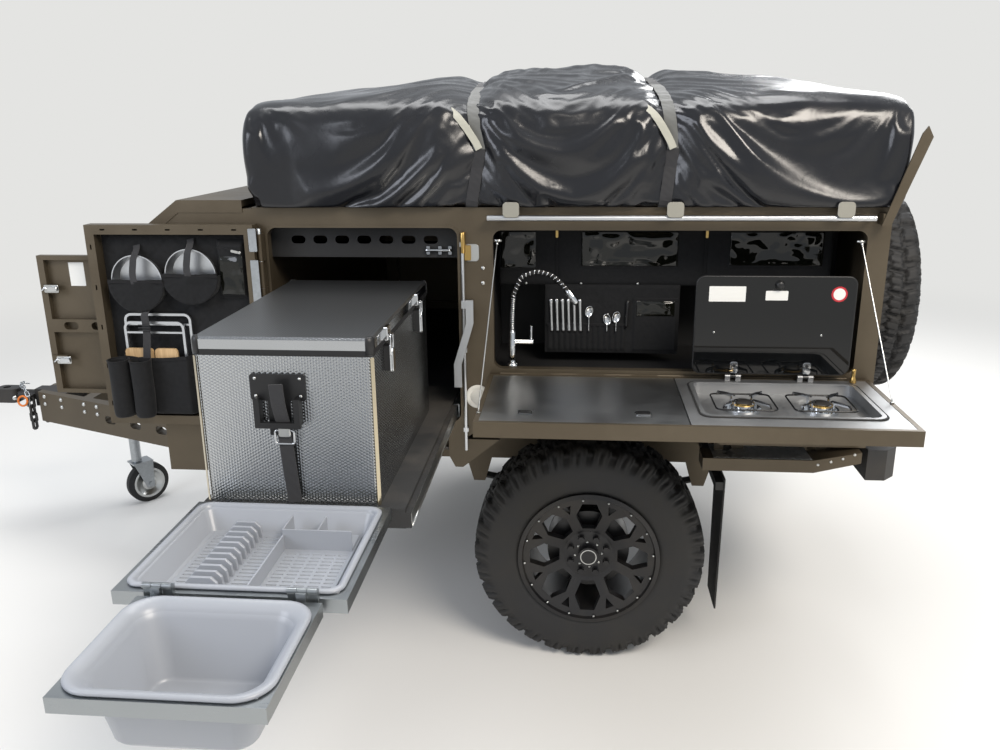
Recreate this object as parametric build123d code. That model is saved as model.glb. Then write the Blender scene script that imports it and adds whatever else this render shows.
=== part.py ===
from build123d import *
import os
from math import sin, cos, atan2, radians, degrees

# Off-road camping trailer, standing on its wheels and jockey wheel, with its left side opened up
# for camping. Sizes are in millimetres. x runs rearward from the pin bore of the tow coupling,
# y from the centre line to the right (the kitchen is on the left, at negative y), z up from the
# ground. Ranges are (low, high) pairs.

# Body
BODY_X = (1570, 3520)
HALF = 896
BODY_Z = (800, 1560)
WALL = 30
DECK = 26
CLEAR = 0.3
PANTRY_X = (BODY_X[0] + 44, BODY_X[0] + 649)
PANTRY_Z = (BODY_Z[0] + 62, BODY_Z[1] - 63)
BENCH_FLOOR_Z = 1010
KITCHEN_X = (PANTRY_X[1] + 111, BODY_X[1] - 65)
KITCHEN_Z = (BENCH_FLOOR_Z + 36, BODY_Z[1] - 70)
KITCHEN_DEEP = 400
OPENING_R = 28
HATCH_X = (BODY_X[0] + 90, BODY_X[1] - 90)
HATCH_Z = (BODY_Z[0] + 100, BODY_Z[1] - 80)

# Running gear
TYRE_R = 394
TYRE_W = 262
WHEEL_X = 2646
WHEEL_Y = HALF - 84
RIM_R = 238
RIM_SEAT_R = 218
LUG_DEEP = 13
LUG_BAND = 130
LUGS_ROUND = 20
AXLE_SIDE = 50
HUB_R = 88
HUB_FACE = 47
STUB_R = 20
DRUM_R = 140
DRUM_DEEP = 40
WHEEL_NUTS = 8
NUT_PCD = 130
CAP_R = 34
WELL_X = (WHEEL_X - 400, WHEEL_X + 400)
WELL_Y = WHEEL_Y - 172
WELL_TOP = BODY_Z[0] + 130

# Frame
RAIL_W = 60
RAIL_TOP = 664
RAIL_DEEP = 104
DRAWBAR_DEEP = 137
RAIL_Y = 430
DRAWBAR_X0 = 190
DRAWBAR_Y0 = 62
NECK_X = BODY_X[0] - 380
COUPLING_Z = 630
PIN_R = 16
COUPLING_DEEP = 64
NECK_R = 23

# Safety chains: links of square wire, hung from a lug on each side of the coupling's neck
LINK_LONG = 52
LINK_WIDE = 34
LINK_WIRE = 9
LINKS = 4
CHAIN_X = 140
CHAIN_Y = 50

# Jockey wheel
JOCKEY_X = 447
JOCKEY_Y = 222
JOCKEY_TUBE_R = 24
JOCKEY_TUBE_Z = (225, 785)
JOCKEY_WHEEL_R = 100
JOCKEY_WHEEL_W = 58
JOCKEY_TURN = 50
JOCKEY_TRAIL = 40

# Nose box and its lid and side door
NOSE_X = (BODY_X[0] - 370, BODY_X[0])
NOSE_Z = (RAIL_TOP, BODY_Z[1] - 4)
NOSE_BREAK_X = NOSE_X[0] + 129
NOSE_FRONT_Z = NOSE_Z[1] - 66
NOSE_WALL = 22
NOSE_DOOR_W = NOSE_X[1] - NOSE_X[0] - 16
NOSE_DOOR_Z = (BODY_Z[0] + 137, BODY_Z[1] - 155)
NOSE_DOOR_T = 24
LID_RIM = 38

# Pantry door and what its inside carries
DOOR_W = 548
DOOR_Z = (PANTRY_Z[0] - 12, PANTRY_Z[1] + 14)
DOOR_T = 45
DOOR_HINGE_X = BODY_X[0] + 27
DOOR_HINGE_Y = -HALF - 30
DOOR_GAP = 11
FRAME_W = 30
PAN_R = 84
PAN_DEEP = 34
PAN_WALL = 3
WIRE_R = 4
BOARD_T = 9

# Kitchen table
TABLE_X = (KITCHEN_X[0] - 14, KITCHEN_X[1] + 46)
TABLE_Y = (-HALF - 476, -HALF - 10)
TABLE_TOP = BENCH_FLOOR_Z + 21
TABLE_T = 44
TABLE_EDGE = 14
TABLE_SPLIT = TABLE_X[0] + 586
TABLE_HINGE_Y = -HALF - 5
HOB_X = (TABLE_SPLIT + 38, TABLE_X[1] - 61)
HOB_Y = (TABLE_Y[0] + 82, TABLE_Y[1] - 54)
HOB_DEEP = 34
HOB_LID_H = 300
HOB_LID_T = 9

# Fridge, its slide, the dish rack and the wash tub
SLIDE_Z = (PANTRY_Z[0] + 3, PANTRY_Z[0] + 49)
TRAY_TOP = SLIDE_Z[1] + 7
TRAY_T = 3
RAIL_GAUGE = 3
FRIDGE_X = (PANTRY_X[0] + 83, PANTRY_X[0] + 509)
FRIDGE_Y = (-HALF - 783, -HALF - 45)
FRIDGE_Z = (TRAY_TOP + CLEAR, TRAY_TOP + 421)
FRIDGE_LID_T = 42
TRAY_X = (FRIDGE_X[0] - 13, FRIDGE_X[1] + 64)
TRAY_Y = (FRIDGE_Y[0] - 11, FRIDGE_Y[1] + 251)
RACK_Y = (FRIDGE_Y[0] - 449, FRIDGE_Y[0] - 33)
RACK_X = (TRAY_X[0], TRAY_X[0] + 476)
RACK_TOP = TRAY_TOP + 15
ANGLE = 30
ANGLE_T = 3
SINK_X = (RACK_X[0] + 61, RACK_X[0] + 431)
SINK_Y = (RACK_Y[0] - 325, RACK_Y[0] - 14)
FOLD_UP = 20
TUB_DEEP = 145
DRAINER_DEEP = 58
PLASTIC = 4

# Rear
FLAP_X = WHEEL_X + 440
SPARE_X = BODY_X[1] + 197
SPARE_Z = BODY_Z[0] + 349
BUMPER_X = (BODY_X[1] + 8, BODY_X[1] + 108)
BUMPER_Z = (BODY_Z[0] - 109, BODY_Z[0] - 5)
BUMPER_HALF = HALF + 4

# Soft roof load and the rail above the kitchen
COVER_X = (BODY_X[0] - 6, BODY_X[1] + 40)
COVER_HALF = HALF + 38
COVER_EDGE_Z = BODY_Z[1] + 333
COVER_CROWN_Z = BODY_Z[1] + 440
ROD_Z = BODY_Z[1] - 29
ROD_Y = -HALF - 38
ROD_X = (KITCHEN_X[0] - 13, KITCHEN_X[1] + 5)
ROD_R = 9


def block(x, y, z):
    """A box between three (low, high) ranges."""
    size = [r[1] - r[0] for r in (x, y, z)]
    return Pos(sum(x) / 2, sum(y) / 2, sum(z) / 2) * Box(*size)


def rod(axis, centre, radius, length):
    """A round bar along the named axis, centred at a point."""
    turn = {"x": Rot(0, 90, 0), "y": Rot(90, 0, 0), "z": Rot(0, 0, 0)}[axis]
    return Pos(*centre) * turn * Cylinder(radius, length)


def prism_x(points, x):
    """A (y, z) outline carried along x."""
    outline = Plane.YZ.offset(x[0]) * make_face(Polyline(*points, close=True))
    return extrude(outline, x[1] - x[0])


def prism_y(points, y):
    """An (x, z) outline carried along y."""
    plane = Plane(origin=(0, y[1], 0), x_dir=(1, 0, 0), z_dir=(0, -1, 0))
    return extrude(plane * make_face(Polyline(*points, close=True)), y[1] - y[0])


def prism_z(points, z):
    """An (x, y) outline carried up z."""
    return extrude(Plane.XY.offset(z[0]) * make_face(Polyline(*points, close=True)), z[1] - z[0])


def window_y(x, z, y, radius):
    """A cutter through y with rounded corners in the x-z plane."""
    plane = Plane(origin=(sum(x) / 2, y[1], sum(z) / 2), x_dir=(1, 0, 0), z_dir=(0, -1, 0))
    return extrude(plane * RectangleRounded(x[1] - x[0], z[1] - z[0], radius), y[1] - y[0])


def window_z(x, y, z, radius):
    """A cutter or plate through z with rounded corners in the x-y plane."""
    plane = Plane.XY.offset(z[0]) * Pos(sum(x) / 2, sum(y) / 2)
    return extrude(plane * RectangleRounded(x[1] - x[0], y[1] - y[0], radius), z[1] - z[0])


def slot_y(centre, length, width, y):
    """An upright-plane cutter with round ends, long in x, through y."""
    plane = Plane(origin=(centre[0], y[1], centre[1]), x_dir=(1, 0, 0), z_dir=(0, -1, 0))
    return extrude(plane * SlotOverall(length, width), y[1] - y[0])


def hinge(axis, centre, length, radius, count, leaf_a, leaf_b, gap=0.8):
    """Hinge barrel in `count` sections, each fused to the tongue of leaf a or b by turns.

    A leaf is a list of tongues, each two ranges: its reach from the axis in the two other directions,
    in x, y, z order.
    """
    pitch = length / count
    leaves = ([], [])
    for i in range(count):
        middle = -length / 2 + pitch * (i + 0.5)
        index = "xyz".index(axis)
        at = [c + (middle if k == index else 0) for k, c in enumerate(centre)]
        section = rod(axis, at, radius, pitch - gap)
        for tongue in (leaf_a, leaf_b)[i % 2]:
            reach = list(tongue)
            reach.insert(index, (-(pitch - gap) / 2, (pitch - gap) / 2))
            section = section + block(*[(at[k] + r[0], at[k] + r[1]) for k, r in enumerate(reach)])
        leaves[i % 2].append(section)
    return leaves


def fuse(first, *others):
    """One solid from pieces that meet."""
    whole = first
    for piece in others:
        whole = whole + piece
    return whole


def both_sides(piece):
    """A left-hand piece and its mirror image on the right."""
    return [piece, mirror(piece, about=Plane.XZ)]


# Tow coupling: a forged block with an upright pin bore, bolted between two cheek plates
def coupling():
    head = fillet(block((-42, 62), (-36, 36), (COUPLING_Z - COUPLING_DEEP / 2,
                                             COUPLING_Z + COUPLING_DEEP / 2)).edges().filter_by(Axis.Z), 24)
    neck = rod("x", (110, 0, COUPLING_Z), NECK_R, 110)
    for side in (-1, 1):
        lug = block((CHAIN_X - 4, CHAIN_X + 4), sorted((side * (NECK_R - 6), side * (CHAIN_Y + 14))),
                    (COUPLING_Z - 16, COUPLING_Z + 10))
        eye = block((CHAIN_X - 5, CHAIN_X + 5), (side * CHAIN_Y - 6, side * CHAIN_Y + 6), (COUPLING_Z - 8, COUPLING_Z + 4))
        neck = neck + (lug - eye)
    yoke = block((150, DRAWBAR_X0 + 4), (-30, 30), (COUPLING_Z - 44, COUPLING_Z + 34))
    # The tail fills the drawbar's mouth, so it widens as the rails do
    inner_face = DRAWBAR_Y0 - RAIL_W / 2 - 1.5 * CLEAR
    widening = (RAIL_Y - DRAWBAR_Y0) / (NECK_X + 10 - DRAWBAR_X0)
    far = inner_face + widening * 140
    tail = prism_z([(DRAWBAR_X0, -inner_face), (DRAWBAR_X0 + 140, -far), (DRAWBAR_X0 + 140, far),
                    (DRAWBAR_X0, inner_face)], (COUPLING_Z - 44, COUPLING_Z + 34))
    body = fuse(head, neck, yoke, tail)
    return body - rod("z", (0, 0, COUPLING_Z), PIN_R, COUPLING_DEEP + 2)


def chain_link():
    """Link of square wire with clipped corners, upright in the x-z plane, its top wire at the origin."""
    long, wide, clip = LINK_LONG / 2, LINK_WIDE / 2, LINK_WIRE
    rings = []
    for inset, cut in ((0, clip), (LINK_WIRE, clip / 3)):
        a, b = long - inset, wide - inset
        rings.append([(-b, cut - a), (cut - b, -a), (b - cut, -a), (b, cut - a),
                      (b, a - cut), (b - cut, a), (cut - b, a), (-b, a - cut)])
    half = LINK_WIRE / 2
    return Pos(0, 0, half - long) * (prism_y(rings[0], (-half, half)) - prism_y(rings[1], (-half - 1, half + 1)))


def safety_chains():
    """A chain hanging from each lug: every link rests on the wire of the one above and is turned by 90 degrees."""
    drop = LINK_LONG - 2 * LINK_WIRE - CLEAR
    top = COUPLING_Z - 8 + CLEAR + LINK_WIRE / 2
    links = []
    for side in (-1, 1):
        for i in range(LINKS):
            links.append(Pos(CHAIN_X, side * CHAIN_Y, top - i * drop) * Rot(0, 0, 90 * (i % 2)) * chain_link())
    return links


# Drawbar, main rails, cross members, outriggers and spring hangers, welded into one frame
def chassis():
    run = NECK_X - DRAWBAR_X0
    half = RAIL_W / 2
    plan = [(DRAWBAR_X0, -DRAWBAR_Y0 + half), (DRAWBAR_X0, -DRAWBAR_Y0 - 4),
            (NECK_X, -RAIL_Y - half), (BODY_X[1], -RAIL_Y - half),
            (BODY_X[1], -RAIL_Y + half), (NECK_X + 10, -RAIL_Y + half)]
    deep = prism_z(plan, (RAIL_TOP - DRAWBAR_DEEP, RAIL_TOP))
    relief = prism_y([(NECK_X - 60, RAIL_TOP - DRAWBAR_DEEP - 1), (NECK_X + 60, RAIL_TOP - RAIL_DEEP),
                      (BODY_X[1] + 1, RAIL_TOP - RAIL_DEEP), (BODY_X[1] + 1, RAIL_TOP - DRAWBAR_DEEP - 1)],
                     (-RAIL_Y - half - 5, -RAIL_Y + half + 5))
    holes = [slot_y((DRAWBAR_X0 + run * along, RAIL_TOP - DRAWBAR_DEEP / 2), 60, 34, (-RAIL_Y - 60, 0))
             for along in (0.42, 0.56, 0.70, 0.84)]
    rail = deep - relief
    for hole in holes:
        rail = rail - hole
    left, right = both_sides(rail)
    frame = left + right
    bearers = (BODY_X[0] + 70, WHEEL_X - 516, WHEEL_X + 484, BODY_X[1] - 40)
    cross_x = (NECK_X + 40, *bearers)
    for x in cross_x:
        frame = frame + block((x - 25, x + 25), (-RAIL_Y, RAIL_Y), (RAIL_TOP - 90, RAIL_TOP))
    frame = frame + block((DRAWBAR_X0 + 250, DRAWBAR_X0 + 300), (-DRAWBAR_Y0 - 80, DRAWBAR_Y0 + 80),
                          (RAIL_TOP - 80, RAIL_TOP))
    for x in bearers:
        outrigger = prism_x([(-HALF + 60, BODY_Z[0]), (-HALF + 60, BODY_Z[0] - 50),
                             (-RAIL_Y - half + 2, RAIL_TOP - 80), (-RAIL_Y - half + 2, RAIL_TOP - 2),
                             (-RAIL_Y + half, RAIL_TOP - 2), (-RAIL_Y + half, BODY_Z[0])], (x - 20, x + 20))
        for side in both_sides(outrigger):
            frame = frame + side
    hanger_z = RAIL_TOP - RAIL_DEEP
    for x in (WHEEL_X - 420, WHEEL_X + 420):
        hanger = prism_y([(x - 50, hanger_z + 2), (x - 22, hanger_z - 96), (x + 22, hanger_z - 96),
                          (x + 50, hanger_z + 2)], (-RAIL_Y - 30, -RAIL_Y + 30))
        slit = block((x - 60, x + 60), (-RAIL_Y - 25, -RAIL_Y + 25), (hanger_z - 120, hanger_z - 4))
        for side in both_sides(hanger - slit):
            frame = frame + side
    return frame


# Leaf springs: three arched leaves and a clamp each, carried at their eyes by the hangers
def leaf_springs():
    span = 840
    eye_z = RAIL_TOP - RAIL_DEEP - 74
    seat_z = TYRE_R + AXLE_SIDE / 2
    drop = eye_z - seat_z - 24
    pack = None
    for leaf, share in enumerate((1.0, 0.8, 0.56)):
        half = span / 2 * share
        low = seat_z + 24 - leaf * 7
        rise = drop * share ** 2
        top = ThreePointArc((WHEEL_X - half, low + rise), (WHEEL_X, low), (WHEEL_X + half, low + rise))
        under = ThreePointArc((WHEEL_X - half, low + rise - 7.5), (WHEEL_X, low - 7.5),
                              (WHEEL_X + half, low + rise - 7.5))
        ends = [Line((WHEEL_X - half, low + rise), (WHEEL_X - half, low + rise - 7.5)),
                Line((WHEEL_X + half, low + rise), (WHEEL_X + half, low + rise - 7.5))]
        plane = Plane(origin=(0, -RAIL_Y + 24, 0), x_dir=(1, 0, 0), z_dir=(0, -1, 0))
        blade = extrude(plane * make_face([top, under, *ends]), 48)
        pack = blade if pack is None else pack + blade
    for side in (-1, 1):
        eye = rod("y", (WHEEL_X + side * span / 2, -RAIL_Y, eye_z - 4), 14, 50 - 2 * CLEAR)
        pack = pack + eye
    clamp = block((WHEEL_X - 45, WHEEL_X + 45), (-RAIL_Y - 32, -RAIL_Y + 32), (seat_z + CLEAR, seat_z + 22))
    return both_sides(pack + clamp)


def axle_beam():
    """Square beam with a round stub into each wheel's hub, and a brake backing plate on each stub."""
    plate_y = WHEEL_Y - DRUM_DEEP - 6
    beam = block((WHEEL_X - AXLE_SIDE / 2, WHEEL_X + AXLE_SIDE / 2), (-plate_y, plate_y),
                 (TYRE_R - AXLE_SIDE / 2, TYRE_R + AXLE_SIDE / 2))
    for side in (-1, 1):
        beam = beam + rod("y", (WHEEL_X, side * (plate_y + 4), TYRE_R), STUB_R, 150)
        beam = beam + rod("y", (WHEEL_X, side * plate_y, TYRE_R), DRUM_R, 8)
    return beam


# Wheels: drawn about their own centre with the axle along y and the outer face towards -y
def tyre():
    """Carcass, bore and bead seats with a flat for each lug and each gap, and a row of lugs on each shoulder."""
    half = TYRE_W / 2
    sides = 2 * LUGS_ROUND
    flat = cos(radians(180 / sides))
    crown, wall, bead_r = TYRE_R - LUG_DEEP, 345, 300
    shoulder, bead_deep = 14, 22
    bore = extrude(Plane.XZ * RegularPolygon(RIM_SEAT_R / flat, sides), half + 1, both=True)
    carcass = extrude(Plane.XZ * RegularPolygon(crown, sides), half, both=True) - bore
    # Both rings of edges on each end face are chamfered: the shoulder outside, the bead inside
    for side in (-1, 1):
        for ring, across, along in ((-1, (crown - wall) * flat, shoulder), (0, bead_r * flat - RIM_SEAT_R, bead_deep)):
            end = carcass.faces().sort_by(Axis.Y)[-1 if side > 0 else 0]
            edges = end.edges().group_by(lambda e: round(Vector(e.center().X, 0, e.center().Z).length))[ring]
            carcass = chamfer(edges, across, along, reference=end)
    carcass = carcass + (extrude(Plane.XZ * RegularPolygon(TYRE_R - 2, sides), LUG_BAND / 2, both=True) - bore)
    for side in (-1, 1):
        carcass = carcass + lug_row(side * (half - shoulder - 22), 44)
    return carcass


def lug_row(middle, wide):
    """A ring with teeth: each lug a straight-sided block that stands on its own flat."""
    step = 360 / LUGS_ROUND
    foot, tip = TYRE_R - LUG_DEEP - 6, TYRE_R
    outline = []
    for i in range(LUGS_ROUND):
        for radius, share in ((foot, -0.32), (tip, -0.27), (tip, 0.27), (foot, 0.32)):
            angle = radians(step * (i + share))
            outline.append((radius * cos(angle), radius * sin(angle)))
    plane = Plane(origin=(0, middle - wide / 2, 0), x_dir=(1, 0, 0), z_dir=(0, 1, 0))
    teeth = extrude(plane * make_face(Polyline(*outline, close=True)), wide)
    return teeth - extrude(plane * Circle(foot - 30), wide)


def rim():
    """Barrel and a dished disc: eight spokes that fork at the lip round a small three-sided window."""
    half = TYRE_W / 2
    well = RIM_SEAT_R - 12
    barrel_profile = [(RIM_R, -half + 8), (RIM_R, -half), (RIM_R - 14, -half - 3), (well, -half + 40),
                      (well, half - 12), (RIM_SEAT_R - CLEAR, half - 12),
                      (RIM_SEAT_R - CLEAR, -half + 21), (RIM_R - 4, -half + 12)]
    barrel = revolve(Plane.XY * make_face(Polyline(*barrel_profile, close=True)), Axis.Y)
    hub_front = -HUB_FACE - 44
    disc_profile = [(HUB_R - 4, hub_front), (RIM_R - 16, -half + 7), (well + 6, hub_front), (HUB_R - 4, hub_front + 30)]
    disc = revolve(Plane.XY * make_face(Polyline(*disc_profile, close=True)), Axis.Y)
    # Columns: turn within a spoke's step, outline of the opening as (across, out from the centre)
    openings = [(0, [(-22, 98), (22, 98), (44, 150), (24, 198), (-24, 198), (-44, 150)]),
                (0.5, [(-15, 200), (15, 200), (0, 166)])]
    for i in range(WHEEL_NUTS):
        for share, outline in openings:
            cutter = extrude(make_face(Polyline(*outline, close=True)), 60, both=True)
            disc = disc - Rot(0, 360 / WHEEL_NUTS * (i + share), 0) * Pos(0, -half + 30, 0) * Rot(90, 0, 0) * cutter
    hub = Pos(0, -HUB_FACE - 22, 0) * Rot(90, 0, 0) * Cylinder(HUB_R, 44)
    cap = Pos(0, hub_front - 10, 0) * Rot(90, 0, 0) * Cylinder(CAP_R, 24)
    nut = extrude(RegularPolygon(11, 6), 24)
    nuts = []
    for i in range(WHEEL_NUTS):
        angle = radians(360 / WHEEL_NUTS * (i + 0.5))
        nuts.append(Pos(NUT_PCD / 2 * cos(angle), hub_front + 8, NUT_PCD / 2 * sin(angle)) * Rot(90, 0, 0) * nut)
    return fuse(barrel, disc, hub, cap) + nuts


def braked_rim():
    """A rim with the brake drum and bearing sleeve that turn with it on the axle stub."""
    inner = DRUM_DEEP
    drum = rod("y", (0, (inner - HUB_FACE) / 2, 0), DRUM_R, inner + HUB_FACE)
    drum = drum - rod("y", (0, inner - 30, 0), DRUM_R - 10, 62)
    sleeve = rod("y", (0, (inner - HUB_FACE) / 2, 0), 42, inner + HUB_FACE)
    return rim() + (drum + sleeve) - rod("y", (0, (inner - HUB_FACE) / 2 + 1, 0), STUB_R + CLEAR, inner + HUB_FACE + 2)


def wheel_places():
    """Name and place of each wheel: road wheels either side, the spare upright across the rear."""
    return {"left": Pos(WHEEL_X, -WHEEL_Y, TYRE_R),
            "right": Pos(WHEEL_X, WHEEL_Y, TYRE_R) * Rot(0, 0, 180),
            "spare": Pos(SPARE_X, 0, SPARE_Z) * Rot(0, 0, 90)}


# Jockey wheel: clamp and tube on the right-hand drawbar rail, swivelling fork, solid rubber wheel
def jockey_stand():
    tube = rod("z", (JOCKEY_X, JOCKEY_Y, sum(JOCKEY_TUBE_Z) / 2), JOCKEY_TUBE_R, JOCKEY_TUBE_Z[1] - JOCKEY_TUBE_Z[0])
    sleeve = rod("z", (JOCKEY_X, JOCKEY_Y, 600), JOCKEY_TUBE_R + 8, 120)
    plate = []
    for x in (JOCKEY_X - 40, JOCKEY_X + 40):
        share = (x - DRAWBAR_X0) / (NECK_X - DRAWBAR_X0)
        rail_y = DRAWBAR_Y0 + 4 + share * (RAIL_Y + RAIL_W / 2 - DRAWBAR_Y0 - 4)
        plate.append((x, rail_y + CLEAR))
    outer_y = JOCKEY_Y - JOCKEY_TUBE_R + 4
    plate = prism_z([*plate, (JOCKEY_X + 40, outer_y), (JOCKEY_X - 40, outer_y)], (560, 640))
    crank = rod("z", (JOCKEY_X, JOCKEY_Y, 800), 8, 50) + block((JOCKEY_X - 8, JOCKEY_X + 120),
                                                              (JOCKEY_Y - 8, JOCKEY_Y + 8), (812, 824))
    knob = rod("z", (JOCKEY_X + 112, JOCKEY_Y, 850), 13, 60)
    return fuse(tube, sleeve, plate, crank, knob)


def jockey_frame():
    """Place of the fork: its own x runs along the wheel's axle."""
    return Pos(JOCKEY_X, JOCKEY_Y, 0) * Rot(0, 0, JOCKEY_TURN - 90)


def jockey_fork():
    top = JOCKEY_TUBE_Z[0]
    half = JOCKEY_WHEEL_W / 2 + 5
    crown = block((-half - 5, half + 5), (-32, JOCKEY_TRAIL + 26), (top - 14, top - 6))
    cheeks = [prism_x([(-30, top - 6), (JOCKEY_TRAIL + 24, top - 6), (JOCKEY_TRAIL + 18, JOCKEY_WHEEL_R - 18),
                       (JOCKEY_TRAIL - 18, JOCKEY_WHEEL_R - 18)], (side * (half + 2.5) - 2.5, side * (half + 2.5) + 2.5))
              for side in (-1, 1)]
    pin = rod("x", (0, JOCKEY_TRAIL, JOCKEY_WHEEL_R), 9 - CLEAR, 2 * half + 24)
    stem = rod("z", (0, 0, top - 3 - CLEAR), JOCKEY_TUBE_R - 4, 6)
    return jockey_frame() * fuse(crown, *cheeks, pin, stem)


def jockey_wheel():
    half = JOCKEY_WHEEL_W / 2
    section = [(9, -half), (30, -half), (42, -half + 14), (76, -half + 4),
               (JOCKEY_WHEEL_R, -half + 14), (JOCKEY_WHEEL_R, half - 14), (76, half - 4), (42, half - 14),
               (30, half), (9, half)]
    turned = revolve(Plane.XY * make_face(Polyline(*section, close=True)), Axis.Y)
    return jockey_frame() * Pos(0, JOCKEY_TRAIL, JOCKEY_WHEEL_R) * Rot(0, 0, 90) * turned


# Body: folded and welded panels round a pantry bay, a kitchen bay and a rear store
def body_side_left():
    panel = block(BODY_X, (-HALF, -HALF + WALL), (BODY_Z[0], BODY_Z[1] - DECK))
    panel = panel - window_y(PANTRY_X, PANTRY_Z, (-HALF - 1, -HALF + WALL + 1), OPENING_R)
    panel = panel - window_y(KITCHEN_X, KITCHEN_Z, (-HALF - 1, -HALF + WALL + 1), OPENING_R)
    lip = window_y((PANTRY_X[0] - 8, PANTRY_X[1] + 8), (PANTRY_Z[0] - 5, PANTRY_Z[1] + 8),
                   (-HALF - 2, -HALF), OPENING_R + 8)
    lip = lip - window_y(PANTRY_X, PANTRY_Z, (-HALF - 5, -HALF + 1), OPENING_R)
    arch = prism_y([(WHEEL_X - 420, BODY_Z[0] - 1), (WHEEL_X - 330, BODY_Z[0] + 60),
                    (WHEEL_X + 330, BODY_Z[0] + 60), (WHEEL_X + 420, BODY_Z[0] - 1)], (-HALF - 1, -HALF + WALL + 1))
    fixed, _ = pantry_hinges()
    fixed_table, _ = table_hinges()
    return fuse(panel - arch, lip, *fixed, *fixed_table)


def body_side_right():
    panel = block(BODY_X, (HALF - WALL, HALF), (BODY_Z[0], BODY_Z[1] - DECK))
    panel = panel - window_y(HATCH_X, HATCH_Z, (HALF - WALL - 1, HALF + 1), OPENING_R)
    arch = prism_y([(WHEEL_X - 420, BODY_Z[0] - 1), (WHEEL_X - 330, BODY_Z[0] + 60),
                    (WHEEL_X + 330, BODY_Z[0] + 60), (WHEEL_X + 420, BODY_Z[0] - 1)], (HALF - WALL - 1, HALF + 1))
    fixed, _ = hatch_hinges()
    return fuse(panel - arch, *fixed)


def body_ends():
    inner = (-HALF + WALL, HALF - WALL)
    return [block((BODY_X[0], BODY_X[0] + WALL), inner, (BODY_Z[0], BODY_Z[1] - DECK)),
            block((BODY_X[1] - WALL, BODY_X[1]), inner, (BODY_Z[0], BODY_Z[1] - DECK))]


def body_floor():
    """Pantry floor, wheel wells and kitchen floor as one folded and welded tray."""
    x = (BODY_X[0] + WALL, BODY_X[1] - WALL)
    inner = (-HALF + WALL, HALF - WALL)
    low_top = PANTRY_Z[0]
    floor = block(x, inner, (BODY_Z[0], low_top))
    floor = floor - block((x[0] + 40, WELL_X[0] - 20), (inner[0] + 40, inner[1] - 40), (BODY_Z[0] - 1, low_top - 12))
    for side in (-1, 1):
        y = sorted((side * WELL_Y, side * (HALF - WALL)))
        floor = floor + block((WELL_X[0] - 12, WELL_X[1] + 12), y, (low_top, WELL_TOP + 12))
        floor = floor + block((WELL_X[0] - 12, WELL_X[1] + 12), sorted((side * (WELL_Y - 12), side * WELL_Y)),
                              (low_top, WELL_TOP + 12))
    for side in (-1, 1):
        y = sorted((side * WELL_Y, side * (HALF - WALL + 2)))
        floor = floor - block(WELL_X, y, (BODY_Z[0] - 1, WELL_TOP))
    return floor


def partitions():
    """Post box between the two openings, kitchen floor and kitchen back wall."""
    top = BODY_Z[1] - DECK
    inner = HALF - WALL
    post = block((PANTRY_X[1] + 12, KITCHEN_X[0] - 12), (-inner, -inner + KITCHEN_DEEP), (WELL_TOP + 12, top))
    post = post - block((PANTRY_X[1] + 15, KITCHEN_X[0] - 15), (-inner + 20, -inner + KITCHEN_DEEP - 3),
                        (WELL_TOP + 20, top + 1))
    divider = block((PANTRY_X[1] + 12, PANTRY_X[1] + 24), (-inner + KITCHEN_DEEP, inner), (WELL_TOP + 12, top))
    back = block((KITCHEN_X[0] - 12, BODY_X[1] - WALL), (-inner + KITCHEN_DEEP - 12, -inner + KITCHEN_DEEP),
                 (WELL_TOP + 12, top))
    bench = block((KITCHEN_X[0] - 12, BODY_X[1] - WALL), (-inner, -inner + KITCHEN_DEEP - 12),
                  (BENCH_FLOOR_Z, BENCH_FLOOR_Z + 15))
    return fuse(post, divider, back, bench)


def roof_deck():
    deck = block(BODY_X, (-HALF, HALF), (BODY_Z[1] - DECK, BODY_Z[1]))
    tabs = []
    for x in (ROD_X[0] + 64, ROD_X[0] + 555, ROD_X[0] + 1060):
        tab = block((x - 12, x + 12), (ROD_Y - 2, -HALF), (ROD_Z + ROD_R, ROD_Z + ROD_R + 4))
        tabs.append(tab + block((x - 12, x + 12), (-HALF - 4, -HALF), (ROD_Z + 4, BODY_Z[1])))
    return fuse(deck, *tabs)


def awning_rail():
    bar = rod("x", (sum(ROD_X) / 2, ROD_Y, ROD_Z), ROD_R - CLEAR, ROD_X[1] - ROD_X[0])
    feet = [block((x - 8, x + 8), (ROD_Y, -HALF), (ROD_Z - 5, ROD_Z + 3)) for x in (ROD_X[0] + 8, ROD_X[1] - 8)]
    return fuse(bar, *feet)


# Pantry door, folded back flat against the nose, with its hinge on the body's front corner
def pantry_hinges():
    length = (DOOR_Z[1] - DOOR_Z[0]) - 60
    centre = (DOOR_HINGE_X, DOOR_HINGE_Y, sum(DOOR_Z) / 2)
    plate = (-7, 7)
    to_body = (plate, (0, -HALF - DOOR_HINGE_Y))
    to_door = ((-DOOR_GAP - 3, 0), (-6, 6))
    return hinge("z", centre, length, 8, 7, [to_body], [to_door])


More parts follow.
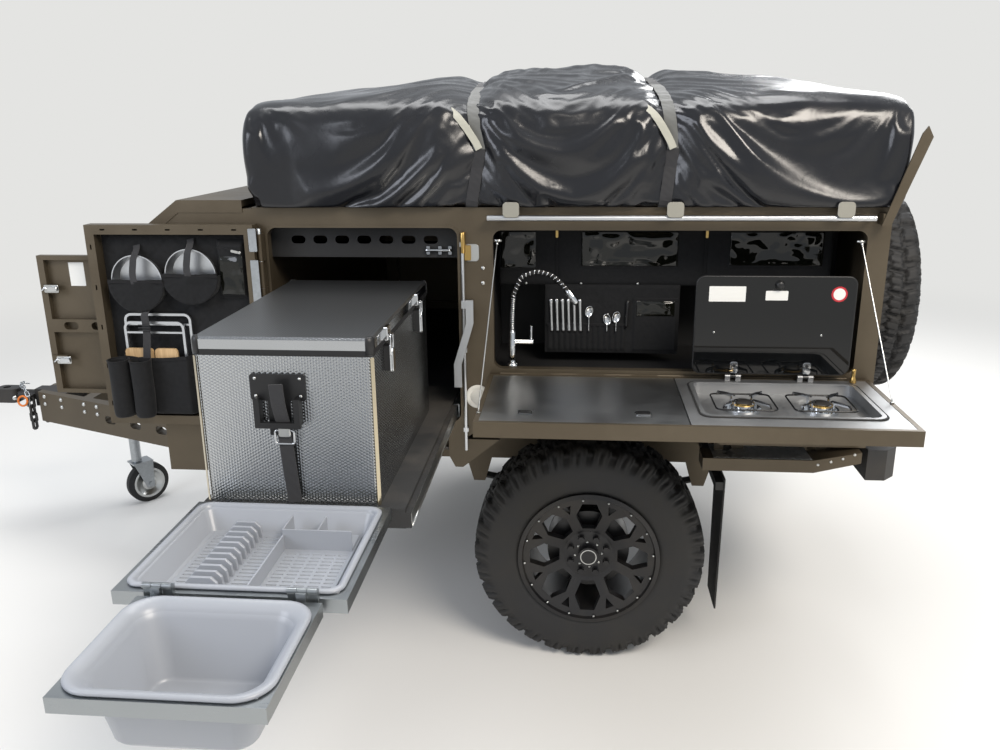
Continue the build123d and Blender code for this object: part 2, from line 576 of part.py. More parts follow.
def pantry_door():
    free = DOOR_HINGE_X - DOOR_GAP - DOOR_W
    x = (free, DOOR_HINGE_X - DOOR_GAP)
    outer = DOOR_HINGE_Y + DOOR_T / 2
    y = (outer - DOOR_T, outer)
    slab = block(x, y, DOOR_Z)
    pan = block((x[0] + FRAME_W, x[1] - FRAME_W), (y[0] - 1, y[1] - 4), (DOOR_Z[0] + FRAME_W, DOOR_Z[1] - FRAME_W))
    door = slab - pan
    hollow = block((x[0] + 3, x[1] - 3), (y[0] + 3, y[1] - 4), (DOOR_Z[0] + 3, DOOR_Z[1] - 3))
    inner_edge = block((x[0] + FRAME_W - 3, x[1] - FRAME_W + 3), (y[0] + 2, y[1] - 3),
                       (DOOR_Z[0] + FRAME_W - 3, DOOR_Z[1] - FRAME_W + 3))
    door = door - (hollow - inner_edge)
    slots = []
    for i in range(5):
        along = x[0] + 60 + i * (DOOR_W - 120) / 4
        slots.append(block((along - 8, along + 8), (y[0] - 1, y[0] + 4), (DOOR_Z[1] - FRAME_W / 2 - 2.5, DOOR_Z[1] - FRAME_W / 2 + 2.5)))
        up = DOOR_Z[0] + 70 + i * (DOOR_Z[1] - DOOR_Z[0] - 140) / 4
        slots.append(block((x[0] + FRAME_W / 2 - 2.5, x[0] + FRAME_W / 2 + 2.5), (y[0] - 1, y[0] + 4), (up - 8, up + 8)))
        slots.append(block((x[1] - FRAME_W / 2 - 2.5, x[1] - FRAME_W / 2 + 2.5), (y[0] - 1, y[0] + 4),
                           (up - 8, up + 8)))
    for slot in slots:
        door = door - slot
    _, moving = pantry_hinges()
    return fuse(door, *moving)


def door_inside():
    """Free edge of the door in x, and the face in y that its organiser lies against."""
    return DOOR_HINGE_X - DOOR_GAP - DOOR_W, DOOR_HINGE_Y + DOOR_T / 2 - 4


# Columns: the pan's middle, from the door's free edge and from its foot
PAN_PLACES = [(151, 482), (331, 502)]
# Columns: grill frame's middle from the free edge, its width, its top from the door's foot, how far off the lining
GRILL_PLACES = [(196, 226, 374, 14), (188, 204, 350, 28)]


def pans():
    """Two shallow pans that stand in their pouches, and two wire grill frames behind the board."""
    free, lining = door_inside()
    face = lining - CLEAR - 4
    steel = []
    for middle, up in PAN_PLACES:
        profile = [(0, 0), (PAN_R - 10, 0), (PAN_R, PAN_DEEP), (PAN_R - PAN_WALL, PAN_DEEP),
                   (PAN_R - 10 - PAN_WALL, PAN_WALL), (0, PAN_WALL)]
        bowl = revolve(Plane.XZ * make_face(Polyline(*profile, close=True)), Axis.Z)
        steel.append(Pos(free + middle, face - CLEAR, DOOR_Z[0] + up) * Rot(90, 0, 0) * bowl)
    for middle, wide, high, off in GRILL_PLACES:
        x = (free + middle - wide / 2, free + middle + wide / 2)
        z = (DOOR_Z[0] + 40 + CLEAR, DOOR_Z[0] + high)
        y = (face - off - WIRE_R, face - off + WIRE_R)
        thick = 2 * WIRE_R
        frame = window_y(x, z, y, 24)
        frame = frame - window_y((x[0] + thick, x[1] - thick), (z[0] + thick, z[1] - thick), (y[0] - 1, y[1] + 1), 16)
        rail = block((x[0] + WIRE_R, x[1] - WIRE_R), (y[0] + 1, y[1] - 1), (z[1] - 40, z[1] - 34))
        steel.append(frame + rail)
    return steel


def camp_boards():
    """Two cutting boards that stand in the organiser's wide pocket."""
    free, lining = door_inside()
    face = lining - CLEAR - 4
    y = (face - 33 - BOARD_T, face - 33)
    return [window_y((free + x0, free + x1), (DOOR_Z[0] + 40 + CLEAR, DOOR_Z[0] + 262), y, 12)
            for x0, x1 in ((86, 180), (186, 262))]


def door_organiser():
    """Lining with two pan pouches, a window pocket, a wide pocket and two bottle pockets on its front."""
    free, lining = door_inside()
    back = lining - CLEAR
    face = back - 4
    inset = FRAME_W + 3
    cloth = block((free + inset, free + DOOR_W - inset), (face, back), (DOOR_Z[0] + inset, DOOR_Z[1] - inset))
    for middle, up in PAN_PLACES:
        x, z = free + middle, DOOR_Z[0] + up
        depth = PAN_DEEP + 2 * CLEAR + 8
        pouch = rod("y", (x, face - depth / 2, z), PAN_R + 8, depth)
        pouch = pouch - rod("y", (x, face - (depth - 8) / 2, z), PAN_R + 1, depth - 8)
        pouch = pouch - block((x - PAN_R - 20, x + PAN_R + 20), (face - depth - 1, face), (z - 4, z + PAN_R + 20))
        cloth = cloth + pouch
    window = block((free + 416, free + DOOR_W - inset - 2), (face - 20, face), (DOOR_Z[1] - 236, DOOR_Z[1] - 50))
    deep = 33 + BOARD_T + 6
    pocket = block((free + 70, free + 314), (face - deep, face), (DOOR_Z[0] + 36, DOOR_Z[0] + 238))
    pocket = pocket - block((free + 74, free + 310), (face - deep + 4, face), (DOOR_Z[0] + 40, DOOR_Z[0] + 240))
    cloth = fuse(cloth, window, pocket)
    for middle in (78, 152):
        x, y = free + middle, face - deep - 30
        bottle = rod("z", (x, y, DOOR_Z[0] + 135), 32, 190) + block((x - 20, x + 20), (y, face - deep + 2),
                                                                    (DOOR_Z[0] + 40, DOOR_Z[0] + 230))
        cloth = cloth + (bottle - rod("z", (x, y, DOOR_Z[0] + 215), 28, 60))
    return cloth


# Nose box with its toolbox lid and the side door that is hinged at the front corner
def nose_profile(shrink=0):
    low, high = NOSE_Z[0] + shrink, NOSE_Z[1]
    return [(NOSE_X[0] + shrink, low), (NOSE_X[1], low), (NOSE_X[1], high),
            (NOSE_BREAK_X + shrink * 0.4, high), (NOSE_X[0] + shrink, NOSE_FRONT_Z - 40)]


def nose_hinges():
    centre = (NOSE_X[0] - 8, -HALF + NOSE_DOOR_T / 2, sum(NOSE_DOOR_Z) / 2)
    to_box = [((-3, 3), (0, 28)), ((-3, 12), (19, 28))]
    to_door = [((-12, 0), (-5, 5))]
    return hinge("z", centre, NOSE_DOOR_Z[1] - NOSE_DOOR_Z[0] - 60, 6, 7, to_box, to_door)


def nose_box():
    shell = prism_y(nose_profile(), (-HALF, HALF))
    hollow = prism_y([(NOSE_X[0] + NOSE_WALL, NOSE_Z[0] + NOSE_WALL), (NOSE_X[1] - NOSE_WALL, NOSE_Z[0] + NOSE_WALL),
                      (NOSE_X[1] - NOSE_WALL, NOSE_Z[1] + 1), (NOSE_BREAK_X + 8, NOSE_Z[1] + 1),
                      (NOSE_X[0] + NOSE_WALL, NOSE_FRONT_Z - 30)], (-HALF + NOSE_WALL + 6, HALF - NOSE_WALL))
    doorway = block((NOSE_X[0] - 1, NOSE_X[0] + NOSE_DOOR_W + 11), (-HALF - 1, -HALF + NOSE_DOOR_T + 6),
                    (NOSE_DOOR_Z[0] - 6, NOSE_DOOR_Z[1] + 6))
    mouth = window_y((NOSE_X[0] + 40, NOSE_X[1] - 40), (NOSE_DOOR_Z[0] + 24, NOSE_DOOR_Z[1] - 24),
                     (-HALF - 1, -HALF + NOSE_WALL + 60), 20)
    box = shell - hollow - doorway - mouth
    fixed, _ = nose_hinges()
    lid_fixed, _ = nose_lid_hinges()
    return fuse(box, *fixed, *lid_fixed)


def nose_lid_hinges():
    centre = (NOSE_X[1] - NOSE_WALL, 0, NOSE_Z[1] + LID_RIM - 4)
    to_box = [((-3, 6), (-LID_RIM, 0))]
    to_lid = [((-14, 0), (-14, 3))]
    return hinge("y", centre, 2 * HALF - 260, 5.5, 9, to_box, to_lid)


def nose_lid():
    """Folded lid over the flat top and the chamfer, with an upright rim."""
    rear = NOSE_X[1] - NOSE_WALL - 9
    top = NOSE_Z[1] + LID_RIM - 11
    outline = [(NOSE_X[0] - 8, NOSE_FRONT_Z - 42), (NOSE_X[0] - 8, NOSE_FRONT_Z - 6), (NOSE_BREAK_X - 2, top),
               (rear, top), (rear, NOSE_Z[1] + 6), (NOSE_BREAK_X - 2, NOSE_Z[1] + 6),
               (NOSE_X[0] - 6, NOSE_FRONT_Z - 34)]
    slab = prism_y(outline, (-HALF - 2.5, HALF + 2.5))
    for side in (-1, 1):
        y = sorted((side * (HALF + 0.5), side * (HALF + 2.5)))
        slab = slab + prism_y([(NOSE_X[0] - 8, NOSE_FRONT_Z - 50), (NOSE_X[0] - 8, NOSE_FRONT_Z - 30),
                               (NOSE_BREAK_X, top), (rear, top), (rear, NOSE_Z[1] - 12),
                               (NOSE_BREAK_X, NOSE_Z[1] - 12)], y)
    _, moving = nose_lid_hinges()
    return fuse(slab, *moving)


def nose_door():
    """Pan door, open forward in line with the side: ribs and a holed middle rib face outward."""
    x = (NOSE_X[0] - 16 - NOSE_DOOR_W, NOSE_X[0] - 16)
    y = (-HALF, -HALF + NOSE_DOOR_T)
    slab = block(x, y, NOSE_DOOR_Z)
    middle = sum(NOSE_DOOR_Z) / 2
    for low, high in ((NOSE_DOOR_Z[0] + 14, middle - 22), (middle + 22, NOSE_DOOR_Z[1] - 14)):
        slab = slab - block((x[0] + 22, x[1] - 14), (y[0] - 1, y[1] - 4), (low, high))
    for share in (0.2, 0.5, 0.8):
        at = x[0] + 22 + share * (NOSE_DOOR_W - 36)
        slab = slab - slot_y((at, middle), 50, 26, (y[0] - 1, y[1] - 4))
    latches = [block((x[0] + 6, x[0] + 58), (y[0] - 6, y[0] + 8), (z - 13, z + 13))
               for z in (NOSE_DOOR_Z[0] + 120, NOSE_DOOR_Z[1] - 110)]
    _, moving = nose_hinges()
    return fuse(slab, *latches, *moving)


# Kitchen table: folded frame, steel bench top on the left, hob panel on the right
def table_hinges():
    centre = (sum(KITCHEN_X) / 2, TABLE_HINGE_Y, TABLE_TOP)
    to_body = [((0, -HALF - TABLE_HINGE_Y), (-24, 0))]
    to_table = [((-6, 0), (-8, 3))]
    return hinge("x", centre, KITCHEN_X[1] - KITCHEN_X[0] - 40, 4.5, 13, to_body, to_table)


def kitchen_table():
    frame = block(TABLE_X, TABLE_Y, (TABLE_TOP - TABLE_T, TABLE_TOP))
    frame = frame - block((TABLE_X[0] + TABLE_EDGE, TABLE_X[1] - TABLE_EDGE),
                          (TABLE_Y[0] + TABLE_EDGE, TABLE_Y[1] - TABLE_EDGE), (TABLE_TOP - TABLE_T + 4, TABLE_TOP + 1))
    _, moving = table_hinges()
    return fuse(frame, *moving)


def bench_top():
    x = (TABLE_X[0] + TABLE_EDGE + CLEAR, TABLE_SPLIT - 2)
    y = (TABLE_Y[0] + TABLE_EDGE + CLEAR, TABLE_Y[1] - TABLE_EDGE - CLEAR)
    z0 = TABLE_TOP - TABLE_T + 4
    top = block(x, y, (z0, TABLE_TOP - 1))
    top = top - block((x[0] + 12, x[1] - 12), (y[0] + 12, y[1] - 12), (z0 - 1, TABLE_TOP - 6))
    latch_y = TABLE_Y[0] + 92
    for at in (x[0] + 123, x[1] - 119):
        top = top - window_z((at - 24, at + 24), (latch_y - 22, latch_y + 22), (TABLE_TOP - 4, TABLE_TOP + 1), 5)
        top = top + window_z((at - 21, at + 21), (latch_y - 18, latch_y + 18), (TABLE_TOP - 5, TABLE_TOP - 2), 4)
    return top


def hob_panel():
    x = (TABLE_SPLIT + 2, TABLE_X[1] - TABLE_EDGE - CLEAR)
    y = (TABLE_Y[0] + TABLE_EDGE + CLEAR, TABLE_Y[1] - TABLE_EDGE - CLEAR)
    z0 = TABLE_TOP - TABLE_T + 4
    panel = block(x, y, (z0, TABLE_TOP - 1))
    panel = panel - window_z((HOB_X[0] + 8, HOB_X[1] - 8), (HOB_Y[0] + 8, HOB_Y[1] - 8),
                             (TABLE_TOP - HOB_DEEP, TABLE_TOP + 2), 30)
    rim = window_z(HOB_X, HOB_Y, (TABLE_TOP - 1, TABLE_TOP + 3), 36)
    rim = rim - window_z((HOB_X[0] + 12, HOB_X[1] - 12), (HOB_Y[0] + 12, HOB_Y[1] - 12),
                         (TABLE_TOP - 2, TABLE_TOP + 4), 26)
    fixed, _ = hob_lid_hinges()
    return fuse(panel, rim, *fixed)


def hob_lid_hinges():
    z = TABLE_TOP + 14
    y = HOB_Y[1] + 22
    pairs = ([], [])
    for x in (HOB_X[0] + 140, HOB_X[1] - 140):
        fixed, moving = hinge("x", (x, y, z), 48, 6, 3, [((-4, 4), (-16, 0))], [((-4, 4), (0, 16))])
        pairs[0].extend(fixed)
        pairs[1].extend(moving)
    return pairs


def hob_lid():
    x = (HOB_X[0] + 16, HOB_X[1] - 16)
    y = HOB_Y[1] + 22
    z0 = TABLE_TOP + 26
    plate = window_y(x, (z0, z0 + HOB_LID_H), (y - HOB_LID_T / 2, y + HOB_LID_T / 2), 24)
    _, moving = hob_lid_hinges()
    return fuse(plate, *moving)


def hob_burners():
    """Two burners with caps and wire pan grids in the hob basin."""
    floor_z = TABLE_TOP - HOB_DEEP
    middle_y = sum(HOB_Y) / 2
    parts = []
    for x in (HOB_X[0] + 140, HOB_X[1] - 140):
        base = rod("z", (x, middle_y, floor_z + 5), 52, 10 - CLEAR)
        ring = rod("z", (x, middle_y, floor_z + 15), 32, 12)
        cap = rod("z", (x, middle_y, floor_z + 23), 26, 6)
        burner = fuse(base, ring, cap)
        for turn in range(4):
            arm = Pos(x, middle_y, 0) * Rot(0, 0, 45 + 90 * turn) * (
                block((40, 92), (-2.5, 2.5), (floor_z + 32, floor_z + 37))
                + block((40, 45), (-2.5, 2.5), (floor_z + 4, floor_z + 37)))
            burner = burner + arm
        parts.append(burner)
    return parts


def kitchen_tap():
    x, y = KITCHEN_X[0] + 55, -HALF + 60
    z = BENCH_FLOOR_Z + 15
    base = rod("z", (x, y, z + 12), 22, 24 - CLEAR)
    column = rod("z", (x, y, z + 60), 13, 100)
    lever = block((x - 4, x + 74), (y - 5, y + 5), (z + 92, z + 102))
    grip = block((x + 58, x + 66), (y - 5, y + 5), (z + 102, z + 150))
    spout_points = [(x, y, z + 105), (x + 4, y, z + 230), (x + 52, y, z + 318), (x + 130, y, z + 326),
                    (x + 182, y, z + 262)]
    spine = FilletPolyline(*spout_points, radius=40)
    spout = sweep(Plane(spine @ 0, z_dir=spine % 0) * Circle(9), path=spine)
    end = spine @ 1
    nozzle = Plane(end, z_dir=spine % 1) * Pos(0, 0, 16) * Cylinder(12, 36)
    return fuse(base, column, lever, grip, spout, nozzle)


def kitchen_organiser():
    """Hanging fabric: an upper band with three window pockets and a cutlery roll below it."""
    y0 = -HALF + 170
    band_z = (BODY_Z[1] - 270, BODY_Z[1] - 48 - CLEAR)
    band = block((KITCHEN_X[0] + 6, KITCHEN_X[1] - 50), (y0, y0 + 22), band_z)
    roll = block((KITCHEN_X[0] + 157, KITCHEN_X[0] + 600), (y0 - 16, y0 + 14), (BENCH_FLOOR_Z + 50, band_z[0]))
    return band + roll


def organiser_rail():
    y0 = -HALF + 170
    return block((KITCHEN_X[0] - 10, BODY_X[1] - WALL - 2), (y0 - 4, y0 + 26), (BODY_Z[1] - 48, BODY_Z[1] - DECK))


def stay_cables():
    """Two wire ropes that hold the table up, from the opening's top corners to the table's ends."""
    ropes = []
    eye_z = KITCHEN_Z[1] - OPENING_R - 5
    # Each rope: the jamb's x, the way from the jamb into the opening, the end on the table's edge in x and y
    for jamb, side, edge, reach in ((KITCHEN_X[0], 1, TABLE_X[0] + TABLE_EDGE / 2, TABLE_Y[0] + 75),
                                    (KITCHEN_X[1], -1, TABLE_X[1] - TABLE_EDGE / 2, TABLE_Y[0] + 233)):
        start = Vector(jamb + side * 14, -HALF + 10, eye_z)
        end = Vector(edge, reach, TABLE_TOP + 4)
        line = Edge.make_line(start, end)
        rope = sweep(Plane(start, z_dir=end - start) * Circle(2.2), path=line)
        eye = rod("x", (jamb + side * (9 + CLEAR / 2), -HALF + 10, eye_z), 5, 18 - CLEAR)
        button = rod("z", (edge, reach, TABLE_TOP + 3 + CLEAR), 5, 6)
        ropes.append(fuse(rope, eye, button))
    return ropes


# Fridge on its slide
def fridge_body():
    z = (FRIDGE_Z[0], FRIDGE_Z[1] - FRIDGE_LID_T - 1)
    shell = block(FRIDGE_X, FRIDGE_Y, z)
    shell = fillet(shell.edges().filter_by(Axis.Z), 12)
    inside = block((FRIDGE_X[0] + 50, FRIDGE_X[1] - 50), (FRIDGE_Y[0] + 50, FRIDGE_Y[1] - 150), (z[0] + 50, z[1] + 1))
    fixed, _ = fridge_hinges()
    return fuse(shell - inside, *fixed)


def fridge_hinges():
    centre = (FRIDGE_X[0] - 8, sum(FRIDGE_Y) / 2, FRIDGE_Z[1] - FRIDGE_LID_T - 0.5)
    return hinge("y", centre, 420, 4.5, 7, [((0, 10), (-22, -2)), ((-2, 2), (-10, 0))],
                 [((0, 10), (2, 22)), ((-2, 2), (0, 10))])


def fridge_lid():
    slab = block((FRIDGE_X[0] - 2, FRIDGE_X[1] + 2), (FRIDGE_Y[0] - 2, FRIDGE_Y[1] + 2),
                 (FRIDGE_Z[1] - FRIDGE_LID_T, FRIDGE_Z[1]))
    slab = fillet(slab.edges().filter_by(Axis.Z), 12)
    slab = chamfer(slab.faces().sort_by(Axis.Z)[-1].edges(), 5)
    _, moving = fridge_hinges()
    return fuse(slab, *moving)


def fridge_fittings():
    """Front handle plate with two loops, and two toggle latches high on the right side."""
    front = FRIDGE_Y[0] - CLEAR
    x, top = FRIDGE_X[0] + 131, FRIDGE_Z[1] - 87
    plate = window_y((x, x + 134), (top - 66, top), (front - 6, front), 8)
    loops = [block((at, at + 14), (front - 28, front - 4), (top - 122, top - 56)) for at in (x + 12, x + 108)]
    bar = block((x + 12, x + 122), (front - 28, front - 16), (top - 128, top - 114))
    foot = block((x + 40, x + 94), (front - 6, front), (top - 152, top - 66))
    keepers = [block((FRIDGE_X[1] + CLEAR, FRIDGE_X[1] + 16), (y, y + 34), (top - 24, top + 38))
               for y in (FRIDGE_Y[0] + 119, FRIDGE_Y[1] - 209)]
    return [fuse(plate, *loops, bar, foot)] + keepers


def slide_rails():
    """Fixed outer channels of the slide, open towards each other, screwed to the pantry floor."""
    rails = []
    length = (-HALF + WALL + 2, -HALF + 1010)
    for side in (-1, 1):
        face = TRAY_X[0] - 4 if side < 0 else TRAY_X[1] + 4
        outer = face + side * 18
        web = block(sorted((outer, outer - side * RAIL_GAUGE)), length, SLIDE_Z)
        lips = [block(sorted((outer, face)), length, z)
                for z in ((SLIDE_Z[0], SLIDE_Z[0] + RAIL_GAUGE), (SLIDE_Z[1] - RAIL_GAUGE, SLIDE_Z[1]))]
        foot = block(sorted((outer, outer - side * 10)), length, (PANTRY_Z[0], SLIDE_Z[0] + 1))
        rails.append(fuse(web, *lips, foot))
    return rails


def slide_tray():
    """Moving tray: a folded plate with the slide's inner channels along both edges."""
    plate = block(TRAY_X, TRAY_Y, (TRAY_TOP - TRAY_T, TRAY_TOP))
    skirts = [block((x, x + RAIL_GAUGE), TRAY_Y, (SLIDE_Z[0] + 2, TRAY_TOP)) for x in (TRAY_X[0], TRAY_X[1] - RAIL_GAUGE)]
    runners = []
    for side in (-1, 1):
        inner = TRAY_X[0] + 1 if side < 0 else TRAY_X[1] - 1
        reach = TRAY_X[0] - 14 if side < 0 else TRAY_X[1] + 14
        runners.append(block(sorted((inner, reach)), TRAY_Y,
                             (SLIDE_Z[0] + RAIL_GAUGE + CLEAR, SLIDE_Z[1] - RAIL_GAUGE - CLEAR)))
    front = block(TRAY_X, (TRAY_Y[0], TRAY_Y[0] + RAIL_GAUGE), (SLIDE_Z[0] + 2, TRAY_TOP))
    return fuse(plate, *skirts, *runners, front)


def angle_frame(x, y, top):
    """A welded frame of angle section, open in the middle."""
    outer = block(x, y, (top - ANGLE, top))
    inner = block((x[0] + ANGLE_T, x[1] - ANGLE_T), (y[0] + ANGLE_T, y[1] - ANGLE_T), (top - ANGLE - 1, top - ANGLE_T))
    middle = block((x[0] + 22, x[1] - 22), (y[0] + 22, y[1] - 22), (top - ANGLE - 1, top + 1))
    return outer - inner - middle


def rack_frame():
    frame = angle_frame(RACK_X, RACK_Y, RACK_TOP)
    joins = [block((x, x + 26), (RACK_Y[1] - 1, TRAY_Y[0]), (RACK_TOP - 26, RACK_TOP - 20))
             for x in (RACK_X[0] + 16, RACK_X[1] - 50)]
    fixed, _ = sink_hinges()
    return fuse(frame, *joins, *fixed)


def sink_hinges():
    z = RACK_TOP + FOLD_UP
    y = (RACK_Y[0] + SINK_Y[1]) / 2
    pairs = ([], [])
    for x in (SINK_X[0] + 40, SINK_X[1] - 40):
        fixed, moving = hinge("x", (x, y, z), 60, 6, 3, [((0, 12), (-FOLD_UP - 6, 0))], [((-12, 0), (-FOLD_UP - 6, 0))])
        pairs[0].extend(fixed)
        pairs[1].extend(moving)
    return pairs


def sink_frame():
    frame = angle_frame(SINK_X, SINK_Y, RACK_TOP)
    _, moving = sink_hinges()
    return fuse(frame, *moving)


def plastic_tub(x, y, top, depth, taper, rim, radius):
    """A thin-walled tray with sloping sides, hung by its flat rim."""
    wide, long = x[1] - x[0] - 2 * rim, y[1] - y[0] - 2 * rim
    centre = Pos(sum(x) / 2, sum(y) / 2, top)
    outer = extrude(centre * RectangleRounded(wide, long, radius), -depth, taper=taper)
    inner = extrude(centre * RectangleRounded(wide - 2 * PLASTIC, long - 2 * PLASTIC, radius - PLASTIC),
                    PLASTIC - depth, taper=taper)
    lip = extrude(centre * Pos(0, 0, -2) * RectangleRounded(wide + 2 * rim, long + 2 * rim, radius), 6)
    cut = extrude(centre * Pos(0, 0, -3) * RectangleRounded(wide - 2 * PLASTIC, long - 2 * PLASTIC, radius - PLASTIC), 10)
    return (outer + lip) - cut - inner


def drainer():
    x = (RACK_X[0] + 6, RACK_X[1] - 6)
    y = (RACK_Y[0] + 6, RACK_Y[1] - 6)
    tray = plastic_tub(x, y, RACK_TOP + 2 + CLEAR, DRAINER_DEEP, 13, 26, 34)
    floor_z = RACK_TOP + 2 - DRAINER_DEEP + PLASTIC
    fins = [block((x[0] + 70 + 21 * i, x[0] + 77 + 21 * i), (y[0] + 70, y[1] - 80), (floor_z - 1, floor_z + 46))
            for i in range(10)]
    divider = block((x[0] + 70 + 21 * 10 + 14, x[0] + 70 + 21 * 10 + 18), (y[0] + 34, y[1] - 34),
                    (floor_z - 1, floor_z + 44))
    cell = block((x[0] + 70 + 21 * 10 + 14, x[1] - 34), (y[1] - 110, y[1] - 106), (floor_z - 1, floor_z + 44))
    tray = fuse(tray, *fins, divider, cell)
    for i in range(9):
        slot = block((x[1] - 118 + 9 * i, x[1] - 114 + 9 * i), (y[0] + 60, y[0] + 240), (floor_z - 10, floor_z + 1))
        tray = tray - slot
    return tray


def wash_tub():
    y = (SINK_Y[0] + 4, SINK_Y[1] - 8)
    return plastic_tub((SINK_X[0] + 2, SINK_X[1] - 2), y, RACK_TOP + 2 + CLEAR, TUB_DEEP, 9, 24, 60)


# Mudguards, steps, flaps, bumper, lamps and spare carrier
def mudguards():
    """A folded front mudguard plate and a chequered step plate behind each wheel."""
    rear, top, foot = WHEEL_X - 301, BODY_Z[0], BODY_Z[0] - 100
    front = prism_y([(rear - 169, top), (rear, top), (rear - 123, foot), (rear - 149, foot), (rear - 169, foot + 40)],
                    (-HALF, -HALF + 170))
    front = front - prism_y([(rear - 163, top - 4), (rear - 15, top - 4), (rear - 123, foot + 8), (rear - 145, foot + 8),
                             (rear - 163, foot + 42)], (-HALF + 4, -HALF + 171))
    inner = -HALF + 56
    near, bend, far = WHEEL_X + 360, BODY_X[1] - 168, BODY_X[1] - 20
    z = BODY_Z[0] - 76
    step = prism_y([(near, z), (near, z + 42), (bend, z + 42), (far, z + 72), (far, z + 36), (bend + 4, z)],
                   (-HALF - 34, inner))
    step = step - prism_y([(near + 4, z - 4), (near + 4, z + 38), (bend, z + 38), (far - 10, z + 66), (far - 10, z + 38),
                           (bend + 2, z + 4), (bend + 2, z - 4)], (-HALF - 30, inner + 1))
    braces = [block((x, x + 30), (inner - 12, inner), (z + 31, BODY_Z[0])) for x in (near + 46, bend + 28)]
    return both_sides(front) + both_sides(fuse(step, *braces))


def mud_flaps():
    x = FLAP_X
    flap = prism_x([(-HALF + 16, 672), (-HALF + 210, 672), (-HALF + 196, 175), (-HALF + 40, 175)],
                   (x + CLEAR, x + 6))
    return both_sides(flap)


def flap_hangers():
    """A square bar out from each main rail, with the flap bolted to its rear face."""
    bar = block((FLAP_X - 25, FLAP_X), (-HALF + 20, -RAIL_Y - RAIL_W / 2 - CLEAR), (632, 660))
    return both_sides(bar)


def rear_bumper():
    beam = block(BUMPER_X, (-BUMPER_HALF, BUMPER_HALF), BUMPER_Z)
    beam = chamfer(beam.edges().filter_by(Axis.Z).sort_by(Axis.X)[-2:], 40)
    tyre_recess = block((BUMPER_X[0] - 1, BUMPER_X[1] + 1), (-220, 220), (BUMPER_Z[1] - 52, BUMPER_Z[1] + 1))
    arms = [block((BODY_X[1], BUMPER_X[0] + 30), sorted((s * (RAIL_Y - 25), s * (RAIL_Y + 25))), (RAIL_TOP - 64, BUMPER_Z[0] + 9))
            for s in (-1, 1)]
    return fuse(beam - tyre_recess, *arms)


def tail_lamps():
    lamps = []
    for side in (-1, 1):
        y = sorted((side * 560, side * 780))
        lamp = block((BUMPER_X[1] + CLEAR, BUMPER_X[1] + 26), y, (BUMPER_Z[0] + 14, BUMPER_Z[1] - 15))
        lamps.append(fillet(lamp.edges().filter_by(Axis.X), 10))
    return lamps


def spare_carrier():
    """Frame bolted to the body's rear wall, with a hub block that reaches the spare's hub."""
    deep = (BODY_X[1], BODY_X[1] + 50)
    low, high = SPARE_Z - 189, SPARE_Z + 191
    posts = [block(deep, (s * 170 - 25, s * 170 + 25), (BODY_Z[0], high + 80)) for s in (-1, 1)]
    bars = [block(deep, (-195, 195), z) for z in ((low, low + 40), (high - 40, high))]
    hub = block((BODY_X[1] + 20, SPARE_X + HUB_FACE - CLEAR), (-45, 45), (SPARE_Z - 45, SPARE_Z + 45))
    mid = block(deep, (-45, 45), (low, high))
    return fuse(*posts, *bars, hub, mid)


def corner_stays():
    """Flat bars leaning back from the rear top corners, beside the cover."""
    foot_x, foot_z = BODY_X[1] - 46, BODY_Z[1] - 50
    y = -COVER_HALF - 12
    lean = prism_y([(foot_x, foot_z), (foot_x + 26, foot_z), (foot_x + 114, foot_z + 250), (foot_x + 98, foot_z + 280),
                    (foot_x + 84, foot_z + 260)], (y, y + 6))
    foot = block((foot_x + 4, foot_x + 26), (y + 5, -HALF), (foot_z + 2, BODY_Z[1] - 15))
    return both_sides(lean + foot)


def tent_cover():
    """Folded roof tent in its travel cover: flat foot, bulging sides, crowned top."""
    x0, x1 = COVER_X
    foot = BODY_Z[1]
    side = [(-COVER_HALF + 8, foot + CLEAR), (-COVER_HALF, foot + 80), (-COVER_HALF + 4, foot + 240),
            (-COVER_HALF + 40, COVER_EDGE_Z), (-COVER_HALF + 434, COVER_CROWN_Z - 50), (0, COVER_CROWN_Z)]
    outline = side + [(-y, z) for y, z in reversed(side[:-1])]
    body = prism_x(outline, (x0, x1))
    ends = prism_y([(x0, foot), (x0 + 6, COVER_EDGE_Z - 33), (x0 + 90, COVER_EDGE_Z - 3), (x0 + 536, COVER_CROWN_Z - 10),
                    (x0 + 1136, COVER_CROWN_Z + 2), (x1 - 300, COVER_CROWN_Z - 40), (x1 - 30, COVER_EDGE_Z - 8),
                    (x1, COVER_EDGE_Z - 53), (x1 - 16, foot)], (-COVER_HALF - 1, COVER_HALF + 1))
    return body & ends


# Right-hand hatch, hinged along its top
def hatch_hinges():
    centre = (sum(HATCH_X) / 2, HALF + 6, HATCH_Z[1] + 18)
    to_body = [((-6, 0), (0, 20))]
    to_hatch = [((0, 8), (-12, 0))]
    return hinge("x", centre, HATCH_X[1] - HATCH_X[0] - 60, 5, 13, to_body, to_hatch)


def side_hatch():
    overlap = 14
    skin = block((HATCH_X[0] - overlap, HATCH_X[1] + overlap), (HALF + 5, HALF + 17),
                 (HATCH_Z[0] - overlap, HATCH_Z[1] + 8))
    _, moving = hatch_hinges()
    handles = [block((x - 50, x + 50), (HALF + 17, HALF + 23), (HATCH_Z[0] + 30, HATCH_Z[0] + 80))
               for x in (HATCH_X[0] + 300, HATCH_X[1] - 300)]
    return fuse(skin, *moving, *handles)


